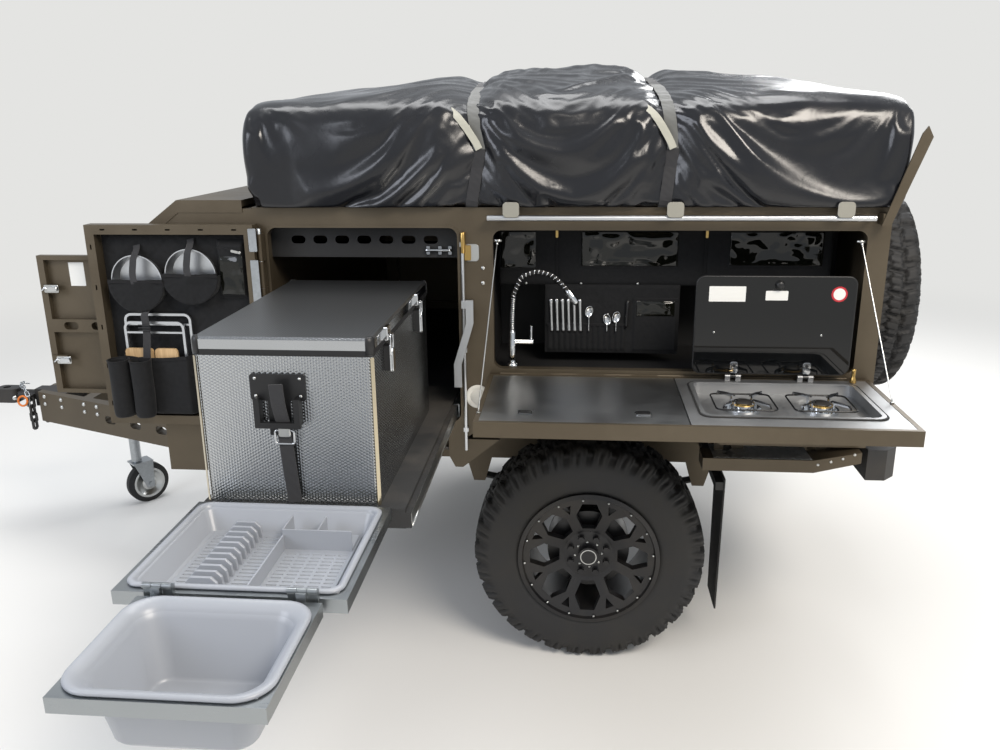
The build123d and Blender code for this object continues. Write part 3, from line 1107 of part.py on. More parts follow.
# Small parts by the pantry opening
def lock_rod():
    """Door lock: a long rod in three clips, turned by a cranked flat lever."""
    x, y = PANTRY_X[1] + 17, -HALF - 9
    top = PANTRY_Z[1] - 12
    bar = rod("z", (x, y, top - 360), 5, 720)
    clips = [block((x - 8, x + 8), (y - 3, -HALF), (top - down, top - down + 14)) for down in (45, 385, 655)]
    lever = prism_y([(x + 10, top - 208), (x + 34, top - 208), (x + 34, top - 282), (x - 7, top - 418), (x - 7, top - 493),
                     (x - 31, top - 493), (x - 31, top - 416), (x + 10, top - 284)], (y - 30, y - 22))
    arm = block((x - 4, x + 30), (y - 23, y + 4), (top - 236, top - 212))
    return fuse(bar, *clips, lever, arm)


def pantry_shelf():
    """Overhead locker front with a row of oval holes, inside the pantry bay."""
    x = (BODY_X[0] + WALL, PANTRY_X[1] + 12)
    face, foot = -HALF + 60, PANTRY_Z[1] - 97
    plate = block(x, (face, face + 4), (foot, foot + 100))
    for i in range(7):
        plate = plate - slot_y((PANTRY_X[0] + 80 + i * 72, foot + 52), 46, 26, (face - 5, face + 10))
    shelf = block(x, (face, face + 360), (foot - 4, foot))
    return plate + shelf


wheels = wheel_places()
pieces = {
    "coupling": coupling(),
    "safety_chains": safety_chains(),
    "chassis": chassis(),
    "leaf_springs": leaf_springs(),
    "axle_beam": axle_beam(),
    "jockey_stand": jockey_stand(),
    "jockey_fork": jockey_fork(),
    "jockey_wheel": jockey_wheel(),
    "body_side_left": body_side_left(),
    "body_side_right": body_side_right(),
    "body_ends": body_ends(),
    "body_floor": body_floor(),
    "partitions": partitions(),
    "roof_deck": roof_deck(),
    "awning_rail": awning_rail(),
    "pantry_door": pantry_door(),
    "door_organiser": door_organiser(),
    "pans": pans(),
    "camp_boards": camp_boards(),
    "nose_box": nose_box(),
    "nose_lid": nose_lid(),
    "nose_door": nose_door(),
    "kitchen_table": kitchen_table(),
    "bench_top": bench_top(),
    "hob_panel": hob_panel(),
    "hob_lid": hob_lid(),
    "hob_burners": hob_burners(),
    "kitchen_tap": kitchen_tap(),
    "kitchen_organiser": kitchen_organiser(),
    "organiser_rail": organiser_rail(),
    "stay_cables": stay_cables(),
    "fridge_body": fridge_body(),
    "fridge_lid": fridge_lid(),
    "fridge_fittings": fridge_fittings(),
    "slide_rails": slide_rails(),
    "slide_tray": slide_tray(),
    "rack_frame": rack_frame(),
    "drainer": drainer(),
    "sink_frame": sink_frame(),
    "wash_tub": wash_tub(),
    "mudguards": mudguards(),
    "mud_flaps": mud_flaps(),
    "flap_hangers": flap_hangers(),
    "rear_bumper": rear_bumper(),
    "tail_lamps": tail_lamps(),
    "spare_carrier": spare_carrier(),
    "corner_stays": corner_stays(),
    "tent_cover": tent_cover(),
    "side_hatch": side_hatch(),
    "lock_rod": lock_rod(),
    "pantry_shelf": pantry_shelf(),
}
for name, place in wheels.items():
    pieces["tyre_" + name] = place * tyre()
    pieces["rim_" + name] = place * (rim() if name == "spare" else braked_rim())

# Exported with the pin bore's centre as the origin
os.makedirs("parts", exist_ok=True)
to_coupling = Pos(0, 0, -COUPLING_Z)
for name, piece in pieces.items():
    solids = [to_coupling * s for s in (piece if isinstance(piece, list) else [piece])]
    shape = solids[0] if len(solids) == 1 else Compound(children=solids)
    export_step(shape, f"parts/{name}.step")
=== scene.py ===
import bpy
import numpy as np
from mathutils import Matrix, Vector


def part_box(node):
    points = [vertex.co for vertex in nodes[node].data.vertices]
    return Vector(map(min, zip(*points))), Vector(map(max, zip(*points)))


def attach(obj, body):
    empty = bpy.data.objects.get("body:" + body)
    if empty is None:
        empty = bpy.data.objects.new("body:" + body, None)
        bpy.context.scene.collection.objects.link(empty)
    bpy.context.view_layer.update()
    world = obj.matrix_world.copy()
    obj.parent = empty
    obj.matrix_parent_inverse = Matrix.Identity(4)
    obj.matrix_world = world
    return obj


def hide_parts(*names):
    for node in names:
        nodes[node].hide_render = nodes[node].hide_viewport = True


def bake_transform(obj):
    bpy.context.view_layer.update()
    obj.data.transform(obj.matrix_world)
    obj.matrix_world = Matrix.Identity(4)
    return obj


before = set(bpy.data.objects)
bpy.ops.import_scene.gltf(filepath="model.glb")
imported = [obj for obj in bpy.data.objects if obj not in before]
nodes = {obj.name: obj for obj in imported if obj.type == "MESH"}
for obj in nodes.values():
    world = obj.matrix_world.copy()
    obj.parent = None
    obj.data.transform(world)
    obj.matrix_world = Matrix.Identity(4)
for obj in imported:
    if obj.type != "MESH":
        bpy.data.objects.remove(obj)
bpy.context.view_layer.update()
scene = bpy.context.scene
scene.view_settings.view_transform = "Standard"


# Camera: it stands on the kitchen side, level with the roof load, and looks slightly down and
# forward. Its place and lens were worked out from the trailer's straight edges in the photograph.
CAMERA_PLACE = (2.5896, -3.5698, 1.1886)
CAMERA_AZIMUTH, CAMERA_PITCH, CAMERA_ROLL = np.radians([5.146, 16.485, -0.535])
LENS_MM, SENSOR_MM = 31.11, 36


def look(azimuth, pitch, roll):
    """Camera axes: forward from two angles, right level, both then rolled about forward."""
    forward = np.array([-np.sin(azimuth) * np.cos(pitch), np.cos(azimuth) * np.cos(pitch), -np.sin(pitch)])
    level = np.array([np.cos(azimuth), np.sin(azimuth), 0.0])
    upright = np.cross(level, forward)
    right = level * np.cos(roll) + upright * np.sin(roll)
    return right, np.cross(right, forward), -forward


camera = bpy.data.objects.new("camera", bpy.data.cameras.new("camera"))
camera.data.lens = LENS_MM
camera.data.sensor_width = SENSOR_MM
turned = np.eye(4)
turned[:3, :3] = np.array(look(CAMERA_AZIMUTH, CAMERA_PITCH, CAMERA_ROLL)).T
turned[:3, 3] = CAMERA_PLACE
camera.matrix_world = Matrix(turned.tolist())
scene.collection.objects.link(camera)
scene.camera = camera


# Studio: a pale floor under the wheels, a pale surround, and large soft lamps. The lamps stand
# high on the kitchen side, so that the black cover and the open bays get long highlights.
FLOOR_Z = min(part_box("tyre_left")[0].z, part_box("jockey_wheel")[0].z)
FLOOR_REACH = 60
FADE_MIDDLE, FADE_FROM, FADE_TO = (2.2, 0.0, -0.63), 2.6, 8.0
SURROUND, SKY_LIGHT = "#e4e4e2", "#cfd3d8"


def linear(hexa):
    """sRGB hex colour as linear red, green, blue and alpha."""
    c = np.array([int(hexa[i:i + 2], 16) for i in (1, 3, 5)]) / 255
    return (*np.where(c <= 0.04045, c / 12.92, ((c + 0.055) / 1.055) ** 2.4), 1.0)


def add(tree, kind, sockets=None, **settings):
    """Adds a node with its settings; each named or numbered socket gets a value or another output."""
    node = tree.nodes.new("ShaderNode" + kind)
    for name, value in settings.items():
        setattr(node, name, value)
    for key, value in (sockets or {}).items():
        if isinstance(value, bpy.types.NodeSocket):
            tree.links.new(value, node.inputs[key])
        else:
            node.inputs[key].default_value = value
    return node


def calc(tree, operation, one, two):
    """The output of a math node on two values."""
    return add(tree, "Math", {0: one, 1: two}, operation=operation).outputs[0]


def finish(name, color, roughness, metallic=0.0, **more):
    """A material with one shader; returns the material, its tree and the shader."""
    material = bpy.data.materials.new(name)
    material.use_nodes = True
    shader = material.node_tree.nodes["Principled BSDF"]
    values = {"Base Color": linear(color), "Roughness": roughness, "Metallic": metallic, **more}
    for key, value in values.items():
        shader.inputs[key].default_value = value
    return material, material.node_tree, shader


def bump(tree, shader, height, strength, **more):
    """Raises the shader's normal by a height output; returns the bump, for another to stand on."""
    raised = add(tree, "Bump", {"Height": height, "Strength": strength, **more}).outputs["Normal"]
    tree.links.new(raised, shader.inputs["Normal"])
    return raised


def mesh_piece(name, points, faces, material=None, body=None, smooth=True):
    """An object from an array of points and a list of faces, in its material and riding on its body."""
    mesh = bpy.data.meshes.new(name)
    mesh.from_pydata(np.asarray(points, float).reshape(-1, 3).tolist(), [],
                     [list(map(int, f)) for f in faces])
    mesh.polygons.foreach_set("use_smooth", [smooth] * len(mesh.polygons))
    mesh.update()
    if material:
        mesh.materials.append(material)
    piece = bpy.data.objects.new(name, mesh)
    scene.collection.objects.link(piece)
    if body:
        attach(piece, body)
    return piece


floor_material, floor_tree, floor_shader = finish("studio_floor", "#e2e1de", 0.9)
floor_speckle = add(floor_tree, "TexNoise", {"Scale": 40.0, "Detail": 3.0})
bump(floor_tree, floor_shader, floor_speckle.outputs["Fac"], 0.05)
# Far from the trailer the floor fades into the surround, for the camera's and the mirror rays alone
floor_place = add(floor_tree, "TexCoord").outputs["Object"]
floor_far = add(floor_tree, "VectorMath", {0: floor_place, 1: FADE_MIDDLE},
                operation="DISTANCE").outputs["Value"]
floor_fade = add(floor_tree, "MapRange", {0: floor_far, 1: FADE_FROM, 2: FADE_TO, 3: 0.0, 4: 1.0},
                 interpolation_type="SMOOTHSTEP").outputs[0]
floor_rays = add(floor_tree, "LightPath").outputs
floor_direct = calc(floor_tree, "MAXIMUM", floor_rays["Is Camera Ray"], floor_rays["Is Glossy Ray"])
floor_share = calc(floor_tree, "MULTIPLY", floor_fade, floor_direct)
floor_glow = add(floor_tree, "Emission", {"Color": linear(SURROUND), "Strength": 1.0}).outputs[0]
floor_mix = add(floor_tree, "MixShader", {0: floor_share, 1: floor_shader.outputs[0],
                                          2: floor_glow}).outputs[0]
floor_tree.links.new(floor_mix, floor_tree.nodes["Material Output"].inputs["Surface"])
corners = np.array([(-1, -1), (1, -1), (1, 1), (-1, 1)]) * FLOOR_REACH
mesh_piece("studio_floor", np.column_stack([corners, np.full(4, FLOOR_Z)]), [(0, 1, 2, 3)],
                    floor_material)

world = bpy.data.worlds.new("surround")
world.use_nodes = True
scene.world = world
world_tree = world.node_tree
rays = add(world_tree, "LightPath").outputs
seen = calc(world_tree, "MAXIMUM", rays["Is Camera Ray"], rays["Is Transmission Ray"])
surround_seen = add(world_tree, "Background", {"Color": linear(SURROUND), "Strength": 1.0}).outputs[0]
surround_light = add(world_tree, "Background", {"Color": linear(SKY_LIGHT), "Strength": 0.95}).outputs[0]
surround_mix = add(world_tree, "MixShader", {0: seen, 1: surround_light, 2: surround_seen}).outputs[0]
world_tree.links.new(surround_mix, world_tree.nodes["World Output"].inputs["Surface"])

# Columns: name, place, aim, width, length, power in watts, colour
LAMPS = [
    ("key_lamp", (5.2, -4.6, 4.6), (2.2, -0.8, 0.2), 2.6, 2.0, 330, "#fff6ea"),
    ("fill_lamp", (-1.6, -4.2, 2.6), (1.6, -0.9, 0.2), 2.4, 2.4, 100, "#eef3ff"),
    ("top_lamp", (2.2, 0.4, 4.8), (2.3, 0.0, 1.0), 4.2, 2.0, 150, "#ffffff"),
    ("rear_lamp", (5.4, 3.6, 3.2), (2.8, 0.2, 0.6), 2.4, 2.0, 120, "#ffffff"),
]
for name, place, aim, wide, long, watts, color in LAMPS:
    lamp = bpy.data.lights.new(name, "AREA")
    lamp.shape = "RECTANGLE"
    lamp.size, lamp.size_y, lamp.energy = wide, long, watts
    lamp.color = linear(color)[:3]
    holder = bpy.data.objects.new(name, lamp)
    beam = np.array(aim) - np.array(place)
    holder.location = place
    azimuth = np.arctan2(-beam[0], beam[1])
    holder.rotation_euler = (np.pi / 2 - np.arctan2(-beam[2], np.hypot(beam[0], beam[1])), 0, azimuth)
    scene.collection.objects.link(holder)


# Frame, drawbar and body panels: folded and welded steel, powder coated in a satin bronze with a
# little metal flake. The coat has a fine orange peel, and dust dulls it in broad, faint patches.
PEEL_MM, DUST_MM = 2.5, 260


def per_metre(size_mm):
    """Pattern scale whose features are that many millimetres across."""
    return 1000.0 / size_mm


def begin(name, color, roughness, metallic=0.0, **more):
    """A material whose patterns stand on Object coordinates: material, tree, shader, coordinates."""
    material, tree, shader = finish(name, color, roughness, metallic, **more)
    return material, tree, shader, add(tree, "TexCoord").outputs["Object"]


def noise(tree, place, size_mm, detail, **more):
    """Noise with features of that size, as an output."""
    sockets = {"Vector": place, "Scale": per_metre(size_mm), "Detail": detail, **more}
    return add(tree, "TexNoise", sockets).outputs["Fac"]


def ranged(tree, value, low, high, new_low, new_high):
    """A value moved from one range into another, as an output."""
    return add(tree, "MapRange", {0: value, 1: low, 2: high, 3: new_low, 4: new_high}).outputs[0]


def tint(tree, shader, share, one, two, **settings):
    """Colours the shader by two colours, mixed by a share."""
    mix = add(tree, "MixRGB", {0: share, 1: one, 2: two}, **settings)
    tree.links.new(mix.outputs[0], shader.inputs["Base Color"])


def powder_coat(name, color, dust_color, roughness, metallic, peel=0.12, dust=0.35):
    """Coated steel: one colour that dust tints in patches, with an orange-peel bump."""
    material, tree, shader, place = begin(name, color, roughness, metallic)
    patches = noise(tree, place, DUST_MM, 5.0, Roughness=0.6)
    tint(tree, shader, ranged(tree, patches, 0.42, 0.75, 0.0, dust), linear(color), linear(dust_color))
    gloss = ranged(tree, patches, 0.3, 0.8, roughness - 0.06, roughness + 0.14)
    tree.links.new(gloss, shader.inputs["Roughness"])
    bump(tree, shader, noise(tree, place, PEEL_MM, 2.0), peel, Distance=0.0006)
    return material


def wear(material, *names):
    """Gives CAD nodes that material."""
    for name in names:
        mesh = nodes[name].data
        mesh.materials.clear()
        mesh.materials.append(material)


bronze = powder_coat("bronze_powder_coat", "#544b3d", "#6f6656", 0.42, 0.55)
wear(bronze, "chassis", "body_side_left", "body_side_right", "body_ends", "roof_deck", "pantry_door",
     "nose_box", "nose_lid", "nose_door", "kitchen_table", "mudguards", "side_hatch", "corner_stays")


# Black steel parts: coupling, springs, axle, bumper and carrier, dipped or powder coated black and
# dulled by road dust. The panels inside are textured, and the fridge's tray is gritty with dust.
black_coat = powder_coat("black_powder_coat", "#1b1b1c", "#4a443b", 0.5, 0.0, peel=0.2, dust=0.45)
wear(black_coat, "coupling", "leaf_springs", "axle_beam", "flap_hangers", "rear_bumper", "spare_carrier",
     "safety_chains", "organiser_rail")
textured_black = powder_coat("textured_black_panel", "#161617", "#242424", 0.62, 0.0, peel=0.5, dust=0.25)
wear(textured_black, "partitions", "body_floor", "pantry_shelf")
gritty_black = powder_coat("gritty_black_tray", "#232323", "#55504a", 0.7, 0.0, peel=0.9, dust=0.8)
wear(gritty_black, "slide_tray")


# Galvanised parts: hot-dipped zinc, pale grey with soft crystal patches that differ in tone and
# gloss. Jockey stand, slide channels and hinge leaves are bought in with this finish.
SPANGLE_MM = 9
galvanised, zinc_tree, zinc_shader, zinc_place = begin("galvanised_zinc", "#a9adb0", 0.38, 1.0)
crystals = add(zinc_tree, "TexVoronoi", {"Vector": zinc_place,
                                         "Scale": per_metre(SPANGLE_MM)}).outputs["Color"]
crystal_tone = ranged(zinc_tree, crystals, 0.0, 1.0, 0.88, 1.06)
tint(zinc_tree, zinc_shader, 1.0, linear("#a9adb0"), crystal_tone, blend_type="MULTIPLY")
zinc_tree.links.new(ranged(zinc_tree, crystals, 0.0, 1.0, 0.33, 0.46), zinc_shader.inputs["Roughness"])
wear(galvanised, "jockey_stand", "jockey_fork", "slide_rails")


# Bright metals: brushed stainless sheet, mill aluminium angle, and chrome. Brushing runs along one
# axis of the sheet, so the grain is a noise drawn out along it.
BRUSH_MM, BRUSH_RUN, SMUDGE_MM = 1.1, 60, 120


def brushed(name, color, roughness, run_axis=0, strength=0.12):
    """Brushed sheet: fine lines along one axis, which also streak the gloss."""
    material, tree, shader, place = begin(name, color, roughness, 1.0)
    stretch = [1.0, 1.0, 1.0]
    stretch[run_axis] = 1.0 / BRUSH_RUN
    mapped = add(tree, "Mapping", {"Vector": place, "Scale": stretch}).outputs["Vector"]
    lines = noise(tree, mapped, BRUSH_MM, 4.0)
    both = calc(tree, "ADD", lines, noise(tree, place, SMUDGE_MM, 4.0))
    gloss = ranged(tree, both, 0.7, 1.3, roughness - 0.08, roughness + 0.07)
    tree.links.new(gloss, shader.inputs["Roughness"])
    bump(tree, shader, lines, strength, Distance=0.0003)
    return material


chrome = finish("chrome_plate", "#d8dadc", 0.07, 1.0)[0]
wear(brushed("brushed_stainless", "#a9abac", 0.36), "bench_top")
wear(brushed("mill_aluminium", "#c9cbcd", 0.36), "awning_rail", "lock_rod", "pans")
wear(brushed("worn_aluminium_angle", "#9ea2a4", 0.32), "rack_frame", "sink_frame")
wear(brushed("hob_panel_sheet", "#a5a6a7", 0.5, strength=0.05), "hob_panel")
wear(chrome, "kitchen_tap", "hob_burners")


# Dish rack and tub: injection-moulded pale grey polypropylene, satin, with a faint moulded grain
# and a little light coming through the thin walls.
grey_plastic, grey_tree, grey_shader, grey_place = begin("grey_polypropylene", "#969aa1", 0.33)
grey_shader.inputs["Subsurface Weight"].default_value = 0.12
grey_shader.inputs["Subsurface Radius"].default_value = (0.01, 0.01, 0.012)
bump(grey_tree, grey_shader, noise(grey_tree, grey_place, 1.5, 2.0), 0.08, Distance=0.0004)
wear(grey_plastic, "drainer", "wash_tub")


# Moulded black plastic and rubber: nylon latches and handles, rubber flaps and the jockey tyre.
# Both have a fine grain; the rubber is duller and greyed by dust.
black_plastic = powder_coat("moulded_black_nylon", "#141415", "#1d1d1e", 0.4, 0.0, peel=0.25, dust=0.2)
rubber = powder_coat("dusty_black_rubber", "#19191a", "#3c3933", 0.72, 0.0, peel=0.35, dust=0.5)
wear(black_plastic, "fridge_fittings")
wear(rubber, "mud_flaps", "jockey_wheel")


# Hob lid: toughened black glass, clear coated and smooth, that shows the burners by reflection.
# It lies in the table's opening and turns up on two hinge straps.
wear(finish("black_tempered_glass", "#08090a", 0.04, IOR=1.5)[0], "hob_lid")


# Rear lamps: clear red acrylic over a bright reflector with small square lenses, 9 mm across. They
# are screwed to the bumper.
lamp_red, lamp_tree, lamp_shader, lamp_place = begin("red_acrylic_lens", "#a80f12", 0.12)
lamp_cells = add(lamp_tree, "TexVoronoi", {"Vector": lamp_place, "Scale": per_metre(9), "Randomness": 0.0},
                 distance="CHEBYCHEV")
bump(lamp_tree, lamp_shader, lamp_cells.outputs["Distance"], 0.4, Distance=0.002)
wear(lamp_red, "tail_lamps")


# Fridge: box and lid of stainless sheet embossed with a close pattern of small round dimples.
# The dimples stand on a triangular grid, worked out as three crossed waves 60 degrees apart.
DIMPLE_MM = 6.9


def dimpled(name, color, roughness, across, down, depth):
    """Embossed sheet: across and down turn Object coordinates into the sheet's own two directions."""
    material, tree, shader, place = begin(name, color, roughness, 1.0)
    total = 0.0
    for turn in (0, np.pi / 3, -np.pi / 3):
        direction = (np.cos(turn) * np.array(across) + np.sin(turn) * np.array(down)) * 2 * np.pi
        way = (direction * per_metre(DIMPLE_MM)).tolist()
        along = add(tree, "VectorMath", {0: place, 1: way}, operation="DOT_PRODUCT").outputs["Value"]
        wave = add(tree, "Math", {0: along}, operation="COSINE").outputs[0]
        total = calc(tree, "ADD", wave, total)
    bump(tree, shader, total, 0.24, Distance=depth)
    return material


wear(dimpled("dimpled_stainless", "#b4b6b7", 0.24, (1, 1, 0), (0, 0, 1), 0.0012), "fridge_body")
wear(dimpled("dimpled_stainless_lid", "#8d8f91", 0.3, (1, 0, 0), (0, 1, 1), 0.0008), "fridge_lid")


# Road wheels and spare: black steel rims inside dusty mud-terrain tyres. The rims are pressed and
# welded steel, powder coated and glossy under the dust.
rim_black = powder_coat("gloss_black_rim", "#1b1b1d", "#5a5348", 0.32, 0.2, dust=0.3)
wear(rim_black, "rim_left", "rim_right", "rim_spare")


# Chopping boards in the door's pocket: oiled beech, with its pale bands of grain. They stand on
# end, so the grain runs upright.
beech, beech_tree, beech_shader, beech_place = begin("oiled_beech", "#c9a676", 0.45)
beech_run = add(beech_tree, "Mapping", {"Vector": beech_place, "Scale": (1.0, 1.0, 0.06)}).outputs["Vector"]
beech_grain = noise(beech_tree, beech_run, 5, 5.0)
tint(beech_tree, beech_shader, beech_grain, linear("#8f6b42"), linear("#e0c193"))
bump(beech_tree, beech_shader, beech_grain, 0.1, Distance=0.0005)
wear(beech, "camp_boards")


# Roof tent in its travel cover: one piece of glossy black PVC-coated cloth, sewn a little large for the
# folded tent and laced at the hem. It is draped over the tent's form by cloth simulation, held at the
# hem and pressed in under two straps, so its folds run from strap to strap as the real ones do.
COVER_X = (1.564, 3.560)
COVER_HALF = 0.930
COVER_FOOT, COVER_EDGE = 0.931, 1.263
# Columns: x, height of the ridge line above the edge at that place
COVER_RIDGE = [(1.564, 0.000), (1.654, 0.020), (2.100, 0.085), (2.700, 0.104), (3.260, 0.070), (3.500, 0.012),
               (3.560, -0.030)]
# Columns: height above the foot as a share of the edge's, x of each strap there on the kitchen side
STRAP_LINE = [[(0.0, 2.267), (0.5, 2.294), (1.0, 2.262), (1.3, 2.245)],
              [(0.0, 2.848), (0.5, 2.869), (1.0, 2.846), (1.3, 2.828)]]
# Columns: way along the half section, share of the half width, of the edge's height and of the ridge
HALF_SECTION = np.array([(0.00, 0.962, 0.000, 0), (0.04, 0.990, 0.02, 0), (0.12, 1.000, 0.25, 0),
                         (0.20, 1.000, 0.55, 0),
                         (0.265, 0.990, 0.78, 0), (0.32, 0.962, 0.90, 0), (0.38, 0.910, 0.97, 0.04),
                         (0.45, 0.830, 1.00, 0.18), (0.58, 0.660, 1.00, 0.48), (0.78, 0.360, 1.00, 0.84),
                         (1.00, 0.000, 1.00, 1.0)])
COVER_COLUMNS, COVER_WAYS = 160, 69
DRAPE_FRAMES, SLACK = 34, 0.055


def smooth_noise(points, size, seed):
    """Value noise, -1 to 1: random values on a lattice of that pitch in metres, eased between its corners."""
    grid = np.random.RandomState(seed).uniform(-1, 1, (64, 64, 64))
    cell = np.asarray(points) / size
    base = np.floor(cell).astype(int)
    part = cell - base
    part = part * part * (3 - 2 * part)
    total = 0
    for corner in np.ndindex(2, 2, 2):
        weight = np.prod(np.where(corner, part, 1 - part), axis=-1)
        i = (base + corner) % 64
        total = total + weight * grid[i[..., 0], i[..., 1], i[..., 2]]
    return total


def grid_faces(rows, columns, wrap=False, flip=False):
    """Quads of a grid of points, facing rows x columns; wrap joins the last column to the first."""
    r, c = np.meshgrid(np.arange(rows - 1), np.arange(columns if wrap else columns - 1), indexing="ij")
    d = (c + 1) % columns
    quads = np.stack([r * columns + c, (r + 1) * columns + c, (r + 1) * columns + d, r * columns + d], -1)
    return quads.reshape(-1, 4)[:, ::-1 if flip else 1]


def grid_normals(grid):
    """Unit normals of a grid of points, from its differences along both ways."""
    across = np.cross(np.gradient(grid, axis=0), np.gradient(grid, axis=1))
    return across / np.maximum(np.linalg.norm(across, axis=-1, keepdims=True), 1e-12)


def eased_run(values, half, **how):
    """Values along a line, each averaged with its neighbours up to that many away."""
    kernel = np.hanning(2 * half + 1)
    return np.convolve(np.pad(values, half, **how), kernel / kernel.sum(), "valid")


def cover_section(x, ways):
    """Half sections of the cover at each x: foot, upright side, rounded shoulder, then up to the ridge."""
    fine = np.linspace(0, 1, 400)
    share = [eased_run(np.interp(fine, HALF_SECTION[:, 0], column), 15, mode="edge")
             for column in HALF_SECTION.T[1:]]
    wide, high, crown = [np.interp(ways, fine, s) for s in share]
    ridge = np.interp(x, *np.array(COVER_RIDGE).T)[:, None]
    return wide * COVER_HALF, (COVER_EDGE - COVER_FOOT) * high, ridge * crown


cover_x = np.linspace(COVER_X[0] + 0.012, COVER_X[1] - 0.012, COVER_COLUMNS)
half_ways = np.linspace(0, 1, COVER_WAYS)
ways = np.concatenate([half_ways, half_ways[-2::-1]])
side_sign = np.concatenate([-np.ones(COVER_WAYS), np.ones(COVER_WAYS - 1)])
wide, high, crown = cover_section(cover_x, ways)
# The section shrinks toward each end over a rounded corner, and then closes over a flat end
from_end = np.minimum(cover_x - COVER_X[0], COVER_X[1] - cover_x)
round_over = np.sqrt(np.clip(1 - (1 - np.clip(from_end / 0.07, 0, 1)) ** 2, 0, 1))
shrink = (1 - 0.045 * (1 - round_over))[:, None]
form = np.stack([np.broadcast_to(cover_x[:, None], (COVER_COLUMNS, len(ways))), wide * shrink * side_sign,
                 COVER_FOOT + high * shrink + crown], -1)


def close_ends(skin, shares):
    """Adds rings at both ends that shrink to the middle of the foot by those shares."""
    rings = []
    for end, x in ((0, COVER_X[0]), (-1, COVER_X[1])):
        middle = np.array([x, 0, COVER_FOOT])
        closing = [middle + (skin[end] - middle) * [0, k, k] for k in shares]
        rings.append(np.array(closing if end else closing[::-1]))
    return np.concatenate([rings[0], skin, rings[1]])


form = close_ends(form, (0.97, 0.9, 0.72, 0.45))
form_normals = grid_normals(form)
height = (form[..., 2] - COVER_FOOT) / (COVER_EDGE - COVER_FOOT)
pressed = np.zeros(form.shape[:2])
under_strap = np.zeros(form.shape[:2])
for line in STRAP_LINE:
    away = np.abs(form[..., 0] - np.interp(np.clip(height, 0, 1.3), *np.array(line).T))
    pressed = np.maximum(pressed, np.exp(-(away / 0.055) ** 2))
    under_strap = np.maximum(under_strap, away < 0.018)
form = form + form_normals * (-0.030 * pressed * np.clip(height * 3, 0, 1) - 0.012)[..., None]
form[..., 2] = np.maximum(form[..., 2], COVER_FOOT)
# The folded tent inside is lumpy: ladder, bedding and poles make broad swells under the cloth
swell = 0.016 * smooth_noise(form * [0.8, 1, 1], 0.33, 5) + 0.006 * smooth_noise(form, 0.12, 8)
form = form + form_normals * (swell * (1 - pressed) * np.clip(height * 3, 0, 1))[..., None]
form[..., 2] = np.maximum(form[..., 2], COVER_FOOT)
cover_rows, cover_columns = form.shape[:2]
skin = form + grid_normals(form) * 0.006
inner = mesh_piece("cover_form", form, grid_faces(cover_rows, cover_columns))
inner.modifiers.new("press", "COLLISION")
inner.collision.thickness_outer = 0.003
inner.collision.cloth_friction = 3
ruffled = skin + grid_normals(skin) * (0.004 + 0.004 * smooth_noise(skin, 0.06, 77))[..., None]
drape = mesh_piece("cover_drape", ruffled, grid_faces(cover_rows, cover_columns))
held = under_strap.astype(float)
held[:, 0] = held[:, -1] = 1
held[0] = held[-1] = 1
group = drape.vertex_groups.new(name="held")
group.add(np.flatnonzero(held.ravel() > 0.5).tolist(), 1.0, "REPLACE")
cloth = drape.modifiers.new("drape", "CLOTH")
cloth.settings.quality = 5
cloth.settings.mass = 0.35
cloth.settings.tension_stiffness = cloth.settings.compression_stiffness = 25
cloth.settings.shear_stiffness = 12
cloth.settings.bending_stiffness = 3.0
cloth.settings.air_damping = 4
cloth.settings.shrink_min = -SLACK
cloth.settings.vertex_group_mass = "held"
cloth.collision_settings.distance_min = 0.003
cloth.collision_settings.collision_quality = 2
cloth.point_cache.frame_start, cloth.point_cache.frame_end = 1, DRAPE_FRAMES
scene.frame_start, scene.frame_end = 1, DRAPE_FRAMES
for step in range(1, DRAPE_FRAMES + 1):
    scene.frame_set(step)
shaped = drape.evaluated_get(bpy.context.evaluated_depsgraph_get()).to_mesh()
settled = np.empty(len(shaped.vertices) * 3)
shaped.vertices.foreach_get("co", settled)
settled = settled.reshape(cover_rows, cover_columns, 3)
moved = settled - skin
far = np.linalg.norm(moved, axis=-1, keepdims=True)
skin = skin + moved * np.minimum(1, 0.045 / np.maximum(far, 1e-9))
scene.frame_set(1)
bpy.data.objects.remove(drape)
bpy.data.objects.remove(inner)
skin[..., 2] = np.maximum(skin[..., 2], COVER_FOOT)
# Over the pantry it stays in, clear of the fridge lid's end as that swings up
side_limit = np.interp(skin[..., 0], (1.72, 1.85), (COVER_HALF + 0.002, COVER_HALF + 0.04))
skin[..., 1] = np.clip(skin[..., 1], -side_limit, side_limit)
end_rows = skin[[0, -1]] * [1, 0, 0] + [0, 0, COVER_FOOT]
skin = np.concatenate([end_rows[:1], skin, end_rows[1:]])

pvc, pvc_tree, pvc_shader, pvc_place = begin("black_pvc_cover", "#15161a", 0.24, IOR=1.5)
pvc_dust = noise(pvc_tree, pvc_place, 180, 5.0)
pvc_tree.links.new(ranged(pvc_tree, pvc_dust, 0.35, 0.7, 0.15, 0.34), pvc_shader.inputs["Roughness"])
pvc_creases = bump(pvc_tree, pvc_shader, noise(pvc_tree, pvc_place, 30, 3.0, Distortion=0.8), 0.15,
                   Distance=0.004)
bump(pvc_tree, pvc_shader, noise(pvc_tree, pvc_place, 2, 2.0), 0.12, Distance=0.0006, Normal=pvc_creases)
tent_cover = mesh_piece("tent_cover_cloth", skin, grid_faces(*skin.shape[:2]), pvc, "root")
smoothed = tent_cover.modifiers.new("smoothed", "SUBSURF")
smoothed.levels = smoothed.render_levels = 1
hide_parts("tent_cover")


